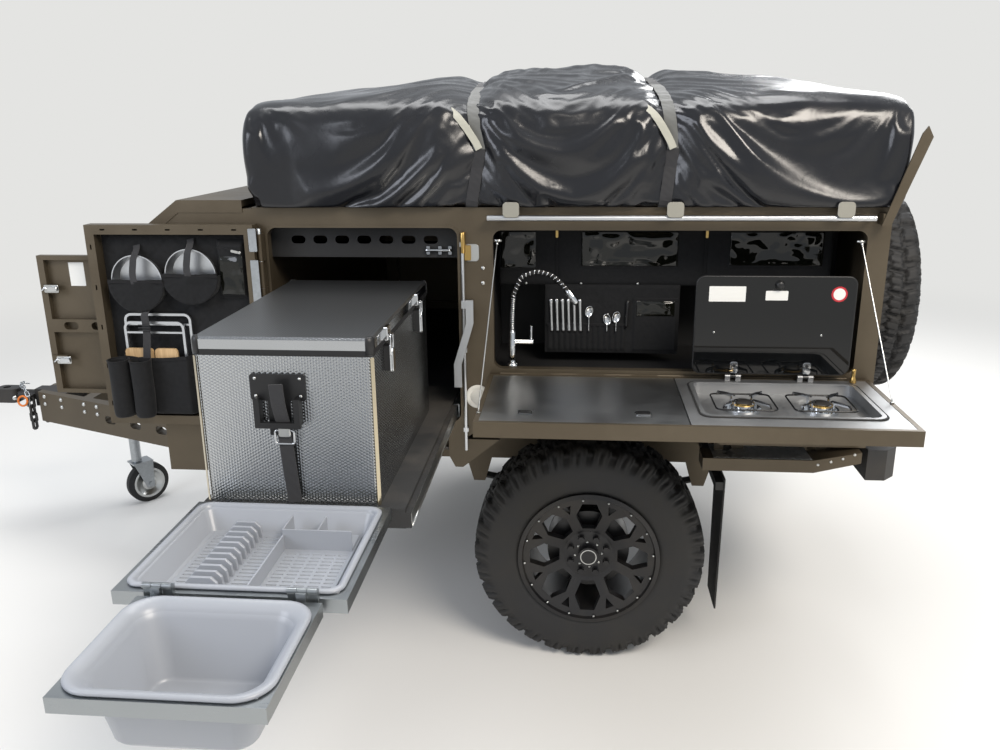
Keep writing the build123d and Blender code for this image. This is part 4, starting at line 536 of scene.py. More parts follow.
# Two tie-down straps over the cover: 38 mm webbing, black below and weathered grey above, each with
# a loose pale tail half way up the kitchen side. Both ends hook on to the roof's edge.
STRAP_WIDE, STRAP_THICK, TAIL_WIDE = 0.036, 0.0024, 0.022
JOIN_Z, OVER_WAY = 1.102, 0.66


def unit(vectors):
    """Vectors brought to length one."""
    vectors = np.asarray(vectors, float)
    return vectors / np.linalg.norm(vectors, axis=-1, keepdims=True)


def ribbon(name, centres, across, outward, wide, thick, material, body):
    """A strap: a flat band of that width along the centres, with a rounded-off rectangular section."""
    centres = np.asarray(centres, float)
    across, outward = [np.broadcast_to(unit(way), centres.shape) for way in (across, outward)]
    section = np.array([(-0.5, 0.25), (-0.46, 0.5), (0.46, 0.5), (0.5, 0.25), (0.5, -0.25), (0.46, -0.5),
                        (-0.46, -0.5), (-0.5, -0.25)])
    points = centres[:, None] + across[:, None] * section[:, :1] * wide
    points = points + outward[:, None] * section[:, 1:] * thick
    flip = float(np.dot(np.cross(np.diff(centres, axis=0)[0], across[0]), outward[0])) > 0
    faces = grid_faces(len(centres), 8, wrap=True, flip=not flip).tolist()
    ends = [list(range(8)), [(len(centres) - 1) * 8 + k for k in range(7, -1, -1)]]
    faces += [end[::-1] for end in ends] if flip else ends
    return mesh_piece(name, points, faces, material, body, smooth=False)


def ribs(tree, place, size_mm, distortion, direction):
    """Ribs of that pitch across one direction, as an output."""
    sockets = {"Vector": place, "Scale": per_metre(size_mm) / 20, "Distortion": distortion}
    return add(tree, "TexWave", sockets, bands_direction=direction).outputs["Fac"]


def webbing(name, color):
    """Woven polyester webbing: close diagonal ribs across the band and a slight sheen."""
    material, tree, shader, place = begin(name, color, 0.75)
    shader.inputs["Sheen Weight"].default_value = 0.3
    height = calc(tree, "ADD", ribs(tree, place, 2.4, 0.4, "DIAGONAL"), noise(tree, place, 1.2, 2.0))
    bump(tree, shader, height, 0.5, Distance=0.0008)
    return material


black_webbing = webbing("black_webbing", "#1c1c1f")
grey_webbing = webbing("weathered_grey_webbing", "#5d5e5c")
pale_webbing = webbing("sun_bleached_webbing", "#a9a89c")
body_rows = skin[5:-5]
for count, strap in enumerate(STRAP_LINE):
    line = []
    for k in range(body_rows.shape[1]):
        strip = body_rows[:, k]
        share = np.clip((strip[:, 2] - COVER_FOOT) / (COVER_EDGE - COVER_FOOT), 0, 1.3)
        at = np.interp(share, *np.array(strap).T)
        row = int(np.argmin(np.abs(strip[:, 0] - at)))
        near = strip[max(row - 1, 0):row + 2]
        line.append((at[row], near[:, 1].mean(), near[:, 2].mean()))
    line = np.array(line)
    tangent = np.gradient(line, axis=0)
    out = unit(np.cross([1.0, 0, 0], tangent))
    line = line + out * 0.004
    across = np.cross(out, tangent)
    join = int(np.argmin(np.abs(line[:COVER_WAYS, 2] - JOIN_Z)))
    over = int(np.argmin(np.abs(half_ways - OVER_WAY)))
    for part, first, last, cloth_of in (("low", 1, join + 1, black_webbing),
                                        ("mid", join, over, grey_webbing),
                                        ("top", over - 1, len(line) - 1, black_webbing)):
        ribbon(f"cover_strap_{part}_{count}", line[first:last], across[first:last], out[first:last],
               STRAP_WIDE, STRAP_THICK, cloth_of, "root")
    # Loose tail: from the join up and forward over the shoulder, a little proud of the cloth
    ends = np.arange(join, join + 14)
    share = np.linspace(0, 1, len(ends))[:, None]
    tail = line[ends] + out[ends] * (0.006 + 0.012 * np.sin(np.pi * share)) + [-0.115, 0, 0] * share ** 1.2
    ribbon(f"cover_strap_tail_{count}", tail, np.cross(out[ends], np.gradient(tail, axis=0)), out[ends],
           TAIL_WIDE, STRAP_THICK, pale_webbing, "root")


# Mud-terrain tyres: moulded black rubber, all three alike. Thirty shoulder lugs a side run down on to
# the sidewall, with two staggered rows of siped blocks between them. Grooves are 14 mm deep.
TREAD_DEEP, LUG_COUNT = 0.0145, 30
TYRE_TURNS, TYRE_ROWS = 600, 66
# Columns: distance from the mid plane, radius, from the inner bead round the outside to the other bead
TYRE_SECTION = [(0.107, 0.222), (0.118, 0.233), (0.125, 0.262), (0.1295, 0.300), (0.128, 0.330),
                (0.123, 0.352),
                (0.114, 0.374), (0.104, 0.385), (0.092, 0.390), (0.050, 0.3920), (0.0, 0.3925)]


def smooth_step(low, high, value):
    """0 below low, 1 above high, eased between."""
    t = np.clip((value - low) / (high - low), 0, 1)
    return t * t * (3 - 2 * t)


def band(value, middle, half, edge):
    """1 within half of the middle, falling to 0 over the edge width."""
    return 1 - smooth_step(half, half + edge, np.abs(value - middle))


def circle(count):
    """That many even angles round a full turn."""
    return np.linspace(0, 2 * np.pi, count, endpoint=False)


def tread(across, along):
    """Groove depth, 0 to 1, at a distance from the mid plane and a way round, in lug pitches."""
    aside, right = np.abs(across), 0.5 * (across > 0)
    wobble = 0.10 * np.sin(across / 0.02) + 0.07 * np.sign(across)
    shoulder = smooth_step(0.058, 0.061, aside)
    in_pitch = (along + wobble + right) % 1
    gap = band(in_pitch, 0.5, 0.135, 0.035) * shoulder
    notch = band(in_pitch, 0.0, 0.05, 0.03) * shoulder * smooth_step(0.098, 0.102, aside)
    notch = notch + band((in_pitch + 0.5) % 1, 0.5, 0.05, 0.03) * shoulder * smooth_step(0.104, 0.108, aside)
    zig = np.abs(((along * 2) % 1) - 0.5)
    ring = band(aside, 0.052 + 0.012 * (zig - 0.25), 0.004, 0.002)
    middle = band(across, 0.016 * (zig - 0.25) * 2, 0.0028, 0.002)
    row = (along + right + 0.25 + 3.0 * aside) % 1
    cross = band(row, 0.5, 0.075, 0.03) * (1 - shoulder)
    sipe = 0.35 * band((row * 3) % 1, 0.5, 0.05, 0.03) * (1 - shoulder)
    sipe = sipe + 0.35 * band((in_pitch * 2) % 1, 0.5, 0.035, 0.03) * shoulder
    return np.clip(np.maximum.reduce([gap, ring, middle, cross, sipe, 0.6 * notch]), 0, 1)


def tyre_grid():
    """A tyre about its own centre with its axle along y, as a grid of points round it."""
    half = np.array(TYRE_SECTION)
    full = np.concatenate([half * [-1, 1], half[-2::-1]])
    run = np.concatenate([[0], np.cumsum(np.linalg.norm(np.diff(full, axis=0), axis=1))])
    # More rows over the tread, where the blocks are, than down the sidewalls
    ways = np.linspace(0, 1, TYRE_ROWS)
    ways = ways + 0.04 * np.sin(2 * np.pi * ways)
    fine = np.linspace(0, 1, 400)
    steps = np.linspace(0, run[-1], 400)
    y, r = [np.interp(ways, fine, eased_run(np.interp(steps, run, way), 8, mode="edge")) for way in full.T]
    turn = circle(TYRE_TURNS)[:, None]
    depth = tread(y[None, :], turn / (2 * np.pi) * LUG_COUNT) * TREAD_DEEP
    depth = depth * smooth_step(0.338, 0.356, r)[None, :]
    # The shoulder lugs stand out of the sidewall; a thin rib guards the bead
    rib = 0.0022 * band(r, 0.252, 0.004, 0.003) + 0.0012 * band(r, 0.318, 0.002, 0.002)
    radius = r[None, :] - depth * smooth_step(0.35, 0.385, r)[None, :]
    drawn_in = depth * 0.7 * (1 - smooth_step(0.37, 0.39, r))[None, :]
    width = y[None, :] - np.sign(y) * drawn_in + np.sign(y) * rib
    return np.stack([radius * np.cos(turn), width + 0 * turn, radius * np.sin(turn)], -1)


tyre_rubber = powder_coat("tyre_rubber", "#1d1d1e", "#3b372f", 0.66, 0.0, peel=0.3, dust=0.5)
tyre_points = tyre_grid()
wheel_centre = {"left": (2.646, -0.812, -0.236), "right": (2.646, 0.812, -0.236),
                "spare": (3.717, 0.0, 0.519)}
for name, centre in wheel_centre.items():
    points = tyre_points if name != "spare" else tyre_points[..., [1, 0, 2]] * [1, -1, 1]
    points = np.concatenate([points, points[:1]]) + centre
    faces = grid_faces(TYRE_TURNS + 1, TYRE_ROWS, flip=name != "spare")
    tyre = mesh_piece("tyre_tread_" + name, points, faces, tyre_rubber,
                      "root" if name == "spare" else "wheel_" + name)
    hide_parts("tyre_" + name)


# Rim hardware: sixteen bright rivets round each lip, lug nuts, and a ring on the hub cap, all plated.
# Each set is one joined mesh of small domes.
def domes(name, centres, facing, radius, height, material, body, sides=14, rings=4):
    """Round-headed bolts or rivets: one joined mesh, with a centre each and a facing each or one for all."""
    centres = np.atleast_2d(np.asarray(centres, float))
    facing = unit(np.broadcast_to(np.asarray(facing, float), centres.shape))
    ones = unit(np.cross(facing, np.where(np.abs(facing[:, 2:]) < 0.9, [[0, 0, 1.0]], [[1.0, 0, 0]])))
    turn = circle(sides)
    rise = np.linspace(0, np.pi / 2, rings + 1)[:-1]
    shell = [(radius, -0.001)] + [(np.cos(t) * radius, np.sin(t) * height) for t in rise]
    points, faces = [], []
    for centre, out, one in zip(centres, facing, ones):
        start = len(points)
        two = np.cross(out, one)
        for wide, up in shell:
            points += [centre + out * up + wide * (np.cos(t) * one + np.sin(t) * two) for t in turn]
        points.append(centre + out * height)
        faces += (grid_faces(rings + 1, sides, wrap=True, flip=True) + start).tolist()
        last = start + rings * sides
        faces += [(last + i, last + (i + 1) % sides, last + sides) for i in range(sides)]
        faces.append([start + sides - 1 - i for i in range(sides)])
    return mesh_piece(name, points, faces, material, body)


zinc_bolt = finish("zinc_plated_bolt", "#c3c4c2", 0.28, 1.0)[0]
cap_turn = circle(48)
around = np.column_stack([np.cos(circle(16) + 0.1), np.zeros(16), np.sin(circle(16) + 0.1)])
for name, sign in (("left", -1), ("right", 1)):
    centre, body = np.array(wheel_centre[name]), "wheel_" + name
    for kind, ways, reach, out, radius in (("rim_rivets_", around, 0.2165, 0.1285, 0.0042),
                                           ("hub_studs_", around[::2], 0.0455, 0.0912, 0.0048)):
        domes(kind + name, centre + ways * reach + [0, sign * out, 0], (0, sign, 0), radius, 0.004,
              zinc_bolt, body)
    ring = [centre + np.column_stack([radius * np.cos(cap_turn), np.full(48, sign * out),
                                      radius * np.sin(cap_turn)])
            for radius, out in ((0.0275, 0.1128), (0.0275, 0.1142), (0.0245, 0.1142), (0.0245, 0.1128))]
    mesh_piece("cap_ring_" + name, np.concatenate(ring + ring[:1]),
               grid_faces(5, 48, wrap=True, flip=sign < 0), zinc_bolt, body, smooth=False)


# Fridge trims: bright folded edges, black moulded corner caps on the lid, a black lashing strap through
# the front handle with a cam buckle, and two chromed toggle latches on the side.
FRIDGE_LOW, FRIDGE_HIGH = np.array([1.697, -1.679, 0.2883]), np.array([2.123, -0.941, 0.709])
X, Y, Z = np.eye(3)


def rounded(wide, high, corner, steps=6):
    """Outline of a rectangle with rounded corners about its middle, anticlockwise."""
    turn = np.linspace(0, np.pi / 2, steps)
    corners = []
    for k, (sx, sy) in enumerate(((1, 1), (-1, 1), (-1, -1), (1, -1))):
        middle = np.array([sx * (wide / 2 - corner), sy * (high / 2 - corner)])
        angle = turn + k * np.pi / 2
        corners.append(middle + corner * np.column_stack([np.cos(angle), np.sin(angle)]))
    return np.concatenate(corners)


def capped(rows, sides):
    """Faces of a row of closed rings, with a face over each end."""
    faces = grid_faces(rows, sides, wrap=True, flip=True).tolist()
    return faces + [list(range(sides - 1, -1, -1)), [(rows - 1) * sides + k for k in range(sides)]]


def plate(name, centre, right, upward, outline, thick, material, body, edge=0.0006):
    """A flat part: an outline in the plane of right and upward, raised by thick along their cross product."""
    centre, right, upward = [np.asarray(a, float) for a in (centre, right, upward)]
    normal = np.cross(right, upward)
    inset = 1 - edge / np.abs(outline).max()
    rings = [(outline, 0), (outline, thick - edge), (outline * inset, thick)]
    points = np.concatenate([centre + o[:, :1] * right + o[:, 1:] * upward + up * normal for o, up in rings])
    return mesh_piece(name, points, capped(3, len(outline)), material, body, smooth=False)


def front_plate(name, centre, size, thick, material, body, edge=0.0006):
    """A plate that faces -y: size is its width, its height and the radius of its corners."""
    return plate(name, centre, X, Z, rounded(*size), thick, material, body, edge=edge)


def tube(name, centres, radius, material, body, sides=12, closed=False):
    """A round bar of that radius, or radii, along a line of points; closed joins its ends."""
    centres = np.asarray(centres, float)
    radius = np.broadcast_to(radius, len(centres))[:, None, None]
    ahead = unit(np.roll(centres, -1, 0) - np.roll(centres, 1, 0) if closed else np.gradient(centres, axis=0))
    side = np.cross(ahead[0], [0.31, 0.17, 0.93])
    across = []
    for along in ahead:
        side = unit(side - along * np.dot(side, along))
        across.append(side)
    over = np.cross(ahead, across)[:, None]
    turn = circle(sides)[None, :, None]
    points = centres[:, None] + radius * (np.cos(turn) * np.array(across)[:, None] + np.sin(turn) * over)
    if closed:
        faces = grid_faces(len(points) + 1, sides, wrap=True, flip=True)
        points = np.concatenate([points, points[:1]])
    else:
        faces = capped(len(points), sides)
    return mesh_piece(name, points, faces, material, body)


def loop(name, centre, right, upward, outline, radius, material, body):
    """A round bar bent into a closed outline in the plane of right and upward."""
    tube(name, centre + outline[:, :1] * right + outline[:, 1:] * upward, radius, material, body, closed=True)


def disc(count):
    """Outline of a circle of radius 1."""
    return np.column_stack([np.cos(circle(count)), np.sin(circle(count))])


def thicken(piece, thickness, offset=-1):
    """Gives a surface its wall: inward of it at offset -1, half to each side at 0."""
    wall = piece.modifiers.new("wall", "SOLIDIFY")
    wall.thickness, wall.offset = thickness, offset


fold_metal = brushed("polished_folded_edge", "#bdb39c", 0.16, run_axis=2, strength=0.05)
trim_metal = brushed("polished_stainless_trim", "#c4c6c8", 0.14, strength=0.05)
fridge_wide, fridge_long, _ = FRIDGE_HIGH - FRIDGE_LOW
fridge_mid = (FRIDGE_LOW + FRIDGE_HIGH) / 2
# Front corners: a narrow bright fold down each edge of the box
for count, x in enumerate((FRIDGE_LOW[0] + 0.0055, FRIDGE_HIGH[0] - 0.0055)):
    lean = np.array([(1 if count else -1) * 0.7071, -0.7071, 0])
    place = np.array([x, FRIDGE_LOW[1] + 0.0055, 0.4775]) + lean * 0.0078
    plate(f"fridge_corner_fold_{count}", place, np.cross(Z, lean), Z, rounded(0.0100, 0.372, 0.002), 0.0009,
          fold_metal, "slide")
# Lid's front and side bands: polished stainless, with a black seal below
for side, x, y, along, long in (("front", fridge_mid[0], FRIDGE_LOW[1] - 0.0019, X, fridge_wide - 0.022),
                                ("side_0", FRIDGE_LOW[0] - 0.0016, fridge_mid[1], -Y, fridge_long - 0.022),
                                ("side_1", FRIDGE_HIGH[0] + 0.0016, fridge_mid[1], Y, fridge_long - 0.022)):
    for kind, z, high, thick, material in (("band", 0.6915, 0.0235, 0.0014, trim_metal),
                                           ("skirt", 0.6735, 0.0115, 0.0016, black_plastic)):
        plate(f"fridge_lid_{kind}_{side}", (x, y, z), along, Z, rounded(long, high, 0.002), thick, material,
              "fridge_lid")
# Moulded corner caps at the lid's four upright corners: a quarter round hugging each
CAP_PROFILE = [(0.0125, 0.669), (0.0148, 0.6705), (0.0148, 0.700), (0.0125, 0.7078), (0.0095, 0.7103),
               (0.002, 0.7108)]
turn = np.linspace(-0.25, np.pi / 2 + 0.25, 11)
for count, (sx, sy) in enumerate(((-1, -1), (1, -1), (-1, 1), (1, 1))):
    middle = np.array([fridge_mid[0] + sx * (fridge_wide / 2 - 0.010),
                       fridge_mid[1] + sy * (fridge_long / 2 - 0.010), 0])
    around = np.column_stack([sx * np.cos(turn), sy * np.sin(turn), 0 * turn])
    rings = np.array([[middle + a * r + [0, 0, z] for r, z in CAP_PROFILE] for a in around])
    cap = mesh_piece(f"fridge_corner_cap_{count}", rings, grid_faces(11, 6, flip=sx * sy > 0), black_plastic,
                     "fridge_lid")
    thicken(cap, 0.0016, 0)
# Seal line between lid and box
loop("fridge_lid_seal", (*fridge_mid[:2], 0.6665), X, Y,
     rounded(fridge_wide + 0.0015, fridge_long + 0.0015, 0.012), 0.0022, rubber, "fridge_lid")
# Screws and strap on the handle plate
handle_y = FRIDGE_LOW[1] - 0.0066
domes("fridge_handle_screws", [(x, handle_y, z) for x in (1.841, 1.949) for z in (0.611, 0.568)], -Y, 0.0042,
      0.0026, zinc_bolt, "slide")
strap_down = np.linspace(0, 1, 40)
strap_bow = 0.0205 * band(strap_down, 1.0, 0.62, 0.25) * (1 - 0.25 * np.sin(np.pi * strap_down))
strap_out = handle_y - 0.0245 + strap_bow
strap_path = np.column_stack([1.899 + 0.018 * strap_down, strap_out, 0.604 - 0.305 * strap_down])
ribbon("fridge_lashing_strap", strap_path, np.cross(-Y, np.gradient(strap_path, axis=0)), -Y, 0.034, 0.0024,
       black_webbing, "slide")
loop("fridge_strap_buckle_frame", (1.907, handle_y - 0.0115, 0.470), X, Z, rounded(0.046, 0.034, 0.006),
     0.0026, chrome, "slide")
front_plate("fridge_strap_buckle_cam", (1.907, handle_y - 0.0065, 0.482), (0.030, 0.024, 0.005), 0.008,
            zinc_bolt, "slide", 0.002)
# Toggle latches on the right side: base and lever over the moulded keeper, bow up to the lid's hook
for count, y in enumerate((-1.543, -1.133)):
    for kind, x, z, size, thick, body, edge in (
            ("base", 2.1388, 0.629, (0.040, 0.068, 0.005), 0.0018, "slide", 0.0006),
            ("lever", 2.1405, 0.622, (0.026, 0.060, 0.009), 0.0050, "slide", 0.0015),
            ("hook", FRIDGE_HIGH[0] + 0.0030, 0.690, (0.042, 0.034, 0.005), 0.0100, "fridge_lid", 0.002)):
        plate(f"fridge_latch_{kind}_{count}", (x, y, z), Y, Z, rounded(*size), thick, chrome, body, edge=edge)
    loop(f"fridge_latch_bow_{count}", (2.1410, y, 0.661), Y, Z, rounded(0.030, 0.052, 0.008), 0.0022, chrome,
         "slide")


# Pantry door's organiser: quilted black canvas lining with sewn pockets, hung inside the door. Two
# half-round pouches hold the pans, a wide pocket the grill and boards, two sleeves the bottles.
DOOR_FREE, DOOR_FACE, DOOR_FOOT = 1.038, -0.912, 0.220


def canvas(name, color, dust_color, rib_mm=3.2):
    """Coated canvas: fine crossed threads drawn as coarse as they show, with a sheen and pale dust."""
    material, tree, shader, place = begin(name, color, 0.8)
    shader.inputs["Sheen Weight"].default_value = 0.05
    shader.inputs["Specular IOR Level"].default_value = 0.3
    crossed = calc(tree, "MULTIPLY", *[ribs(tree, place, rib_mm, 0.3, axis) for axis in ("X", "Z")])
    slub = noise(tree, place, 14, 4.0)
    tint(tree, shader, ranged(tree, slub, 0.35, 0.75, 0.0, 0.5), linear(color), linear(dust_color))
    weave = bump(tree, shader, crossed, 0.35, Distance=0.0006)
    bump(tree, shader, slub, 0.3, Distance=0.003, Normal=weave)
    return material


def cloth_panel(name, grid, material, body, thick=0.0022):
    """A sewn cloth part from a grid of points that faces outwards, with its thickness."""
    panel = mesh_piece(name, grid, grid_faces(*grid.shape[:2]), material, body)
    thicken(panel, thick)
    return panel


def two_ways(shape, low=(0, 0), high=(1, 1)):
    """Even steps between two corners, in two ways, as a pair of grids."""
    return np.meshgrid(*[np.linspace(a, b, n) for a, b, n in zip(low, high, shape)], indexing="ij")


def inside(s, t, left, right, foot, head):
    """0 at the four edges of a unit square, eased to 1 over those shares of it."""
    sides = smooth_step(0, left, s) * smooth_step(0, right, 1 - s)
    return sides * smooth_step(0, foot, t) * smooth_step(0, head, 1 - t)


def stuffed_slab(name, low, high, face, back, rise, body, replaced):
    """A padded canvas panel that faces -y: a grid of bulges between two corners, closed to a flat back."""
    s, t = two_ways(rise.shape, low, high)
    front = np.stack([s, face - rise, t], -1)
    flat = np.array([0, back, 0])
    shell = np.concatenate([front[:1] * [1, 0, 1] + flat, front, front[-1:] * [1, 0, 1] + flat])
    shell = np.concatenate([shell[:, :1] * [1, 0, 1] + flat, shell, shell[:, -1:] * [1, 0, 1] + flat], axis=1)
    rows, columns = shell.shape[:2]
    rim = np.concatenate([np.arange(columns), np.arange(1, rows) * columns + columns - 1,
                          (rows - 1) * columns + np.arange(columns - 2, -1, -1),
                          np.arange(rows - 2, 0, -1) * columns])
    piece = mesh_piece(name, shell, grid_faces(rows, columns).tolist() + [rim[::-1]], black_canvas, body)
    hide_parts(replaced)
    return piece


def binding(name, path, body, wide=0.012, thick=0.0026):
    """A bound edge: a band of piping that faces -y."""
    ribbon(name, path, Z, -Y, wide, thick, piping, body)


def door_strap(name, path, wide):
    """A webbing strap down the pantry door."""
    way = np.gradient(path, axis=0)
    side = np.cross(-Y, way)
    ribbon(name, path, side, np.cross(way, side), wide, 0.0022, black_webbing, "pantry_door")


black_canvas = canvas("black_organiser_canvas", "#0d0e10", "#1a1a1c")
piping = canvas("black_edge_binding", "#0d0d0f", "#1b1b1d", rib_mm=1.6)
# Quilted lining: a padded slab, its front stitched in wide diamonds
LINING_LOW, LINING_HIGH, QUILT_PITCH = np.array([0.033, 0.033]), np.array([0.515, 0.628]), 0.09
u, v = two_ways((90, 110), LINING_LOW, LINING_HIGH)
rim = np.minimum.reduce([u - LINING_LOW[0], LINING_HIGH[0] - u, v - LINING_LOW[1], LINING_HIGH[1] - v])
stitch = np.minimum(*[np.abs((way / QUILT_PITCH + 0.5) % 1 - 0.5) for way in (u + v, u - v)])
puff = 0.0018 + 0.0035 * np.clip(stitch / 0.16, 0, 1) ** 0.6 * smooth_step(0, 0.02, rim)
door_lining = stuffed_slab("door_organiser_lining", LINING_LOW + (DOOR_FREE, DOOR_FOOT),
                           LINING_HIGH + (DOOR_FREE, DOOR_FOOT), DOOR_FACE + 0.003, DOOR_FACE + 0.0035, puff,
                           "pantry_door", "door_organiser")

# Pan pouches: a half-round front that stands off the lining by the pan's depth, gathered at its foot
inward = np.concatenate([np.linspace(0, 1, 12), 1 + np.linspace(0, 1, 26)[1:]])
turn, step = np.meshgrid(np.linspace(np.pi, 2 * np.pi, 61), inward, indexing="ij")
wall_part, face_part = np.clip(step, 0, 1), np.clip(step - 1, 0, 1)
spread = 0.090 * (1 - face_part * 0.999)
widened = spread * np.cos(turn) * (1 + 0.02 * wall_part * (1 - face_part))
gather = 0.0010 * np.sin(turn * 21 + 2 * np.sin(turn * 5)) * (1 - face_part) ** 3 * wall_part
out = 0.003 + 0.037 * smooth_step(0, 1, wall_part) + 0.004 * smooth_step(0, 1, face_part)
down = np.linspace(0, 1, 26)
for count, (middle, up, sag) in enumerate(((0.151, 0.482, 0.010), (0.331, 0.502, 0.002))):
    where = np.stack([spread * np.cos(turn), spread * np.sin(turn), out + count], -1)
    crease = 0.005 * smooth_noise(where, 0.045, 91)
    x = DOOR_FREE + middle + widened + gather * np.cos(turn)
    z = DOOR_FOOT + up + spread * np.sin(turn) - sag * np.abs(np.sin(turn)) * (1 - face_part) * wall_part
    y = DOOR_FACE - out + crease * face_part - 0.6 * np.abs(crease) * wall_part
    pouch = np.stack([x, y + gather, z], -1)
    cloth_panel(f"pan_pouch_{count}", pouch[:, ::-1], black_canvas, "pantry_door", thick=0.0018)
    lip = np.column_stack([DOOR_FREE + middle + np.linspace(-0.091, 0.091, 30),
                           np.full(30, DOOR_FACE - 0.0455),
                           DOOR_FOOT + up + 0.0015 * np.sin(np.linspace(0, 9, 30))])
    binding(f"pan_pouch_binding_{count}", lip, "pantry_door")
    # Strap from the lining's head down over the pan to the pouch
    door_strap(f"pan_strap_{count}", np.column_stack([
        DOOR_FREE + middle + 0.004 * np.sin(down * 6),
        DOOR_FACE - 0.006 - 0.041 * smooth_step(0.0, 0.38, down), DOOR_FOOT + up + 0.112 - 0.118 * down]),
               0.022)

# Wide pocket for the grill and boards: a boxed front that bellies out, bound along its top
s, t = two_ways((56, 40))
puffed = smooth_step(0, 0.09, s) * smooth_step(0, 0.09, 1 - s) * smooth_step(0, 0.035, t)
bulge = 0.050 * puffed + 0.004 * smooth_noise(np.stack([s * 0.3, t * 0.2, 0 * s], -1), 0.05, 17) * puffed
pocket = np.stack([DOOR_FREE + 0.067 + 0.250 * s, DOOR_FACE - 0.0025 - bulge,
                   DOOR_FOOT + 0.0345 + 0.2015 * t - 0.008 * np.sin(np.pi * s) * t], -1)
cloth_panel("grill_pocket", pocket, black_canvas, "pantry_door")
binding("grill_pocket_binding", pocket[2:-2, -1] + [0, -0.0015, 0], "pantry_door")
# Strap over the grill frames, with a three-bar slide
down = np.linspace(0, 1, 40)
door_strap("grill_strap", np.column_stack([
    DOOR_FREE + 0.168 + 0.006 * np.sin(down * 5), DOOR_FACE - 0.010 - 0.044 * smooth_step(0, 0.16, down),
    DOOR_FOOT + 0.405 - 0.215 * down]), 0.025)
for up in (-0.009, 0.0, 0.009):
    bar = [(DOOR_FREE + 0.150 + 0.004 * k, DOOR_FACE - 0.0585, DOOR_FOOT + 0.335 + up) for k in range(11)]
    tube(f"grill_strap_bar_{int(up * 1000 + 9)}", bar, 0.0018, black_plastic, "pantry_door")

# Bottle sleeves: padded round sleeves sewn to the pocket, each with a steel bottle's dark lid inside
# Columns: height above the door's foot, radius, up the outside, over the rim and down to the lid
SLEEVE_PROFILE = [(0.004, 0.0405), (0.022, 0.0395), (0.0295, 0.043), (0.0325, 0.056), (0.0330, 0.120),
                  (0.0325, 0.185),
                  (0.0335, 0.222), (0.0345, 0.2295), (0.0335, 0.2325), (0.0305, 0.2310), (0.0290, 0.224),
                  (0.0285, 0.190), (0.020, 0.186), (0.0004, 0.186)]
round_way = circle(48)
for count, middle in enumerate((0.078, 0.152)):
    centre = np.array([DOOR_FREE + middle, DOOR_FACE - 0.078, DOOR_FOOT])
    rings = []
    for k, (radius, z) in enumerate(SLEEVE_PROFILE):
        wobbles = k < 7 and 0.03 < z < 0.2
        radius = radius + 0.0016 * np.sin(round_way * 3 + z * 40 + count) * wobbles
        ring = [radius * np.cos(round_way), 0.98 * radius * np.sin(round_way), 0 * round_way + z]
        rings.append(centre + np.column_stack(ring))
    sleeve = mesh_piece(f"bottle_sleeve_{count}", rings, capped(len(rings), 48), black_canvas, "pantry_door")
    softened = sleeve.modifiers.new("softened", "SUBSURF")
    softened.levels = softened.render_levels = 1
    loop(f"bottle_sleeve_binding_{count}", centre + [0, 0, 0.2325], X, Y, 0.0335 * disc(48), 0.0022, piping,
         "pantry_door")

# Window pocket: a boxed pocket with a clear film front, closed by a zip along its top
clear_film, film_tree, film_shader, film_place = begin("clear_pvc_film_over_dark", "#0e0f0b", 0.05, IOR=1.5)
bump(film_tree, film_shader, noise(film_tree, film_place, 95, 0.6, Distortion=1.3), 0.8, Distance=0.020)


def film_window(name, low, high, face, body, seed, swell=0.004):
    """A clear film window: a grid between two corners in x and z, rippled and bellied out along -y."""
    s, t = two_ways((64, 40))
    x, z = low[0] + (high[0] - low[0]) * s, low[1] + (high[1] - low[1]) * t
    ripple = swell * (0.5 + smooth_noise(np.stack([x, 0 * x, z * 1.6], -1), 0.05, seed))
    grid = np.stack([x, face - 0.0012 - inside(s, t, 0.12, 0.12, 0.16, 0.16) * np.clip(ripple, 0, 1), z], -1)
    return cloth_panel(name, grid, clear_film, body, thick=0.0008)


s, t = two_ways((34, 44))
boxed = 0.021 * inside(s, t, 0.16, 0.16, 0.12, 0.10)
window_box = np.stack([DOOR_FREE + 0.414 + 0.099 * s, DOOR_FACE - 0.0025 - boxed,
                       DOOR_FOOT + 0.423 + 0.190 * t], -1)
window_pocket = cloth_panel("window_pocket", window_box, black_canvas, "pantry_door")
film_window("window_pocket_film", (DOOR_FREE + 0.427, DOOR_FOOT + 0.440),
            (DOOR_FREE + 0.502, DOOR_FOOT + 0.562), DOOR_FACE - 0.0235, "pantry_door", 5)


def zip_line(name, first, last, material, body):
    """A zip that faces -y: its teeth, drawn as one ribbed band, and a pull tab at its first point."""
    first, last = np.array(first), np.array(last)
    along = unit(last - first)
    side = np.cross(-Y, along)
    upward = np.cross(-Y, side)
    ribbon(name + "_teeth", np.linspace(0, 1, 40)[:, None] * (last - first) + first, side, -Y, 0.007, 0.0022,
           piping, body)
    at = first - Y * 0.0015
    plate(name + "_slider", at + along * 0.005, side, upward, rounded(0.009, 0.012, 0.003), 0.0045, material,
          body, edge=0.001)
    plate(name + "_pull", at + along * 0.020 - Y * 0.003, side, upward, rounded(0.0085, 0.024, 0.003),
          0.0022, material, body)


zip_brass = finish("brass_zip_pull", "#b59a63", 0.3, 1.0)[0]
zip_steel = finish("nickel_zip_pull", "#c8c8c6", 0.24, 1.0)[0]
zip_line("window_pocket_zip", (DOOR_FREE + 0.500, DOOR_FACE - 0.024, DOOR_FOOT + 0.573),
         (DOOR_FREE + 0.425, DOOR_FACE - 0.024, DOOR_FOOT + 0.590), zip_steel, "pantry_door")


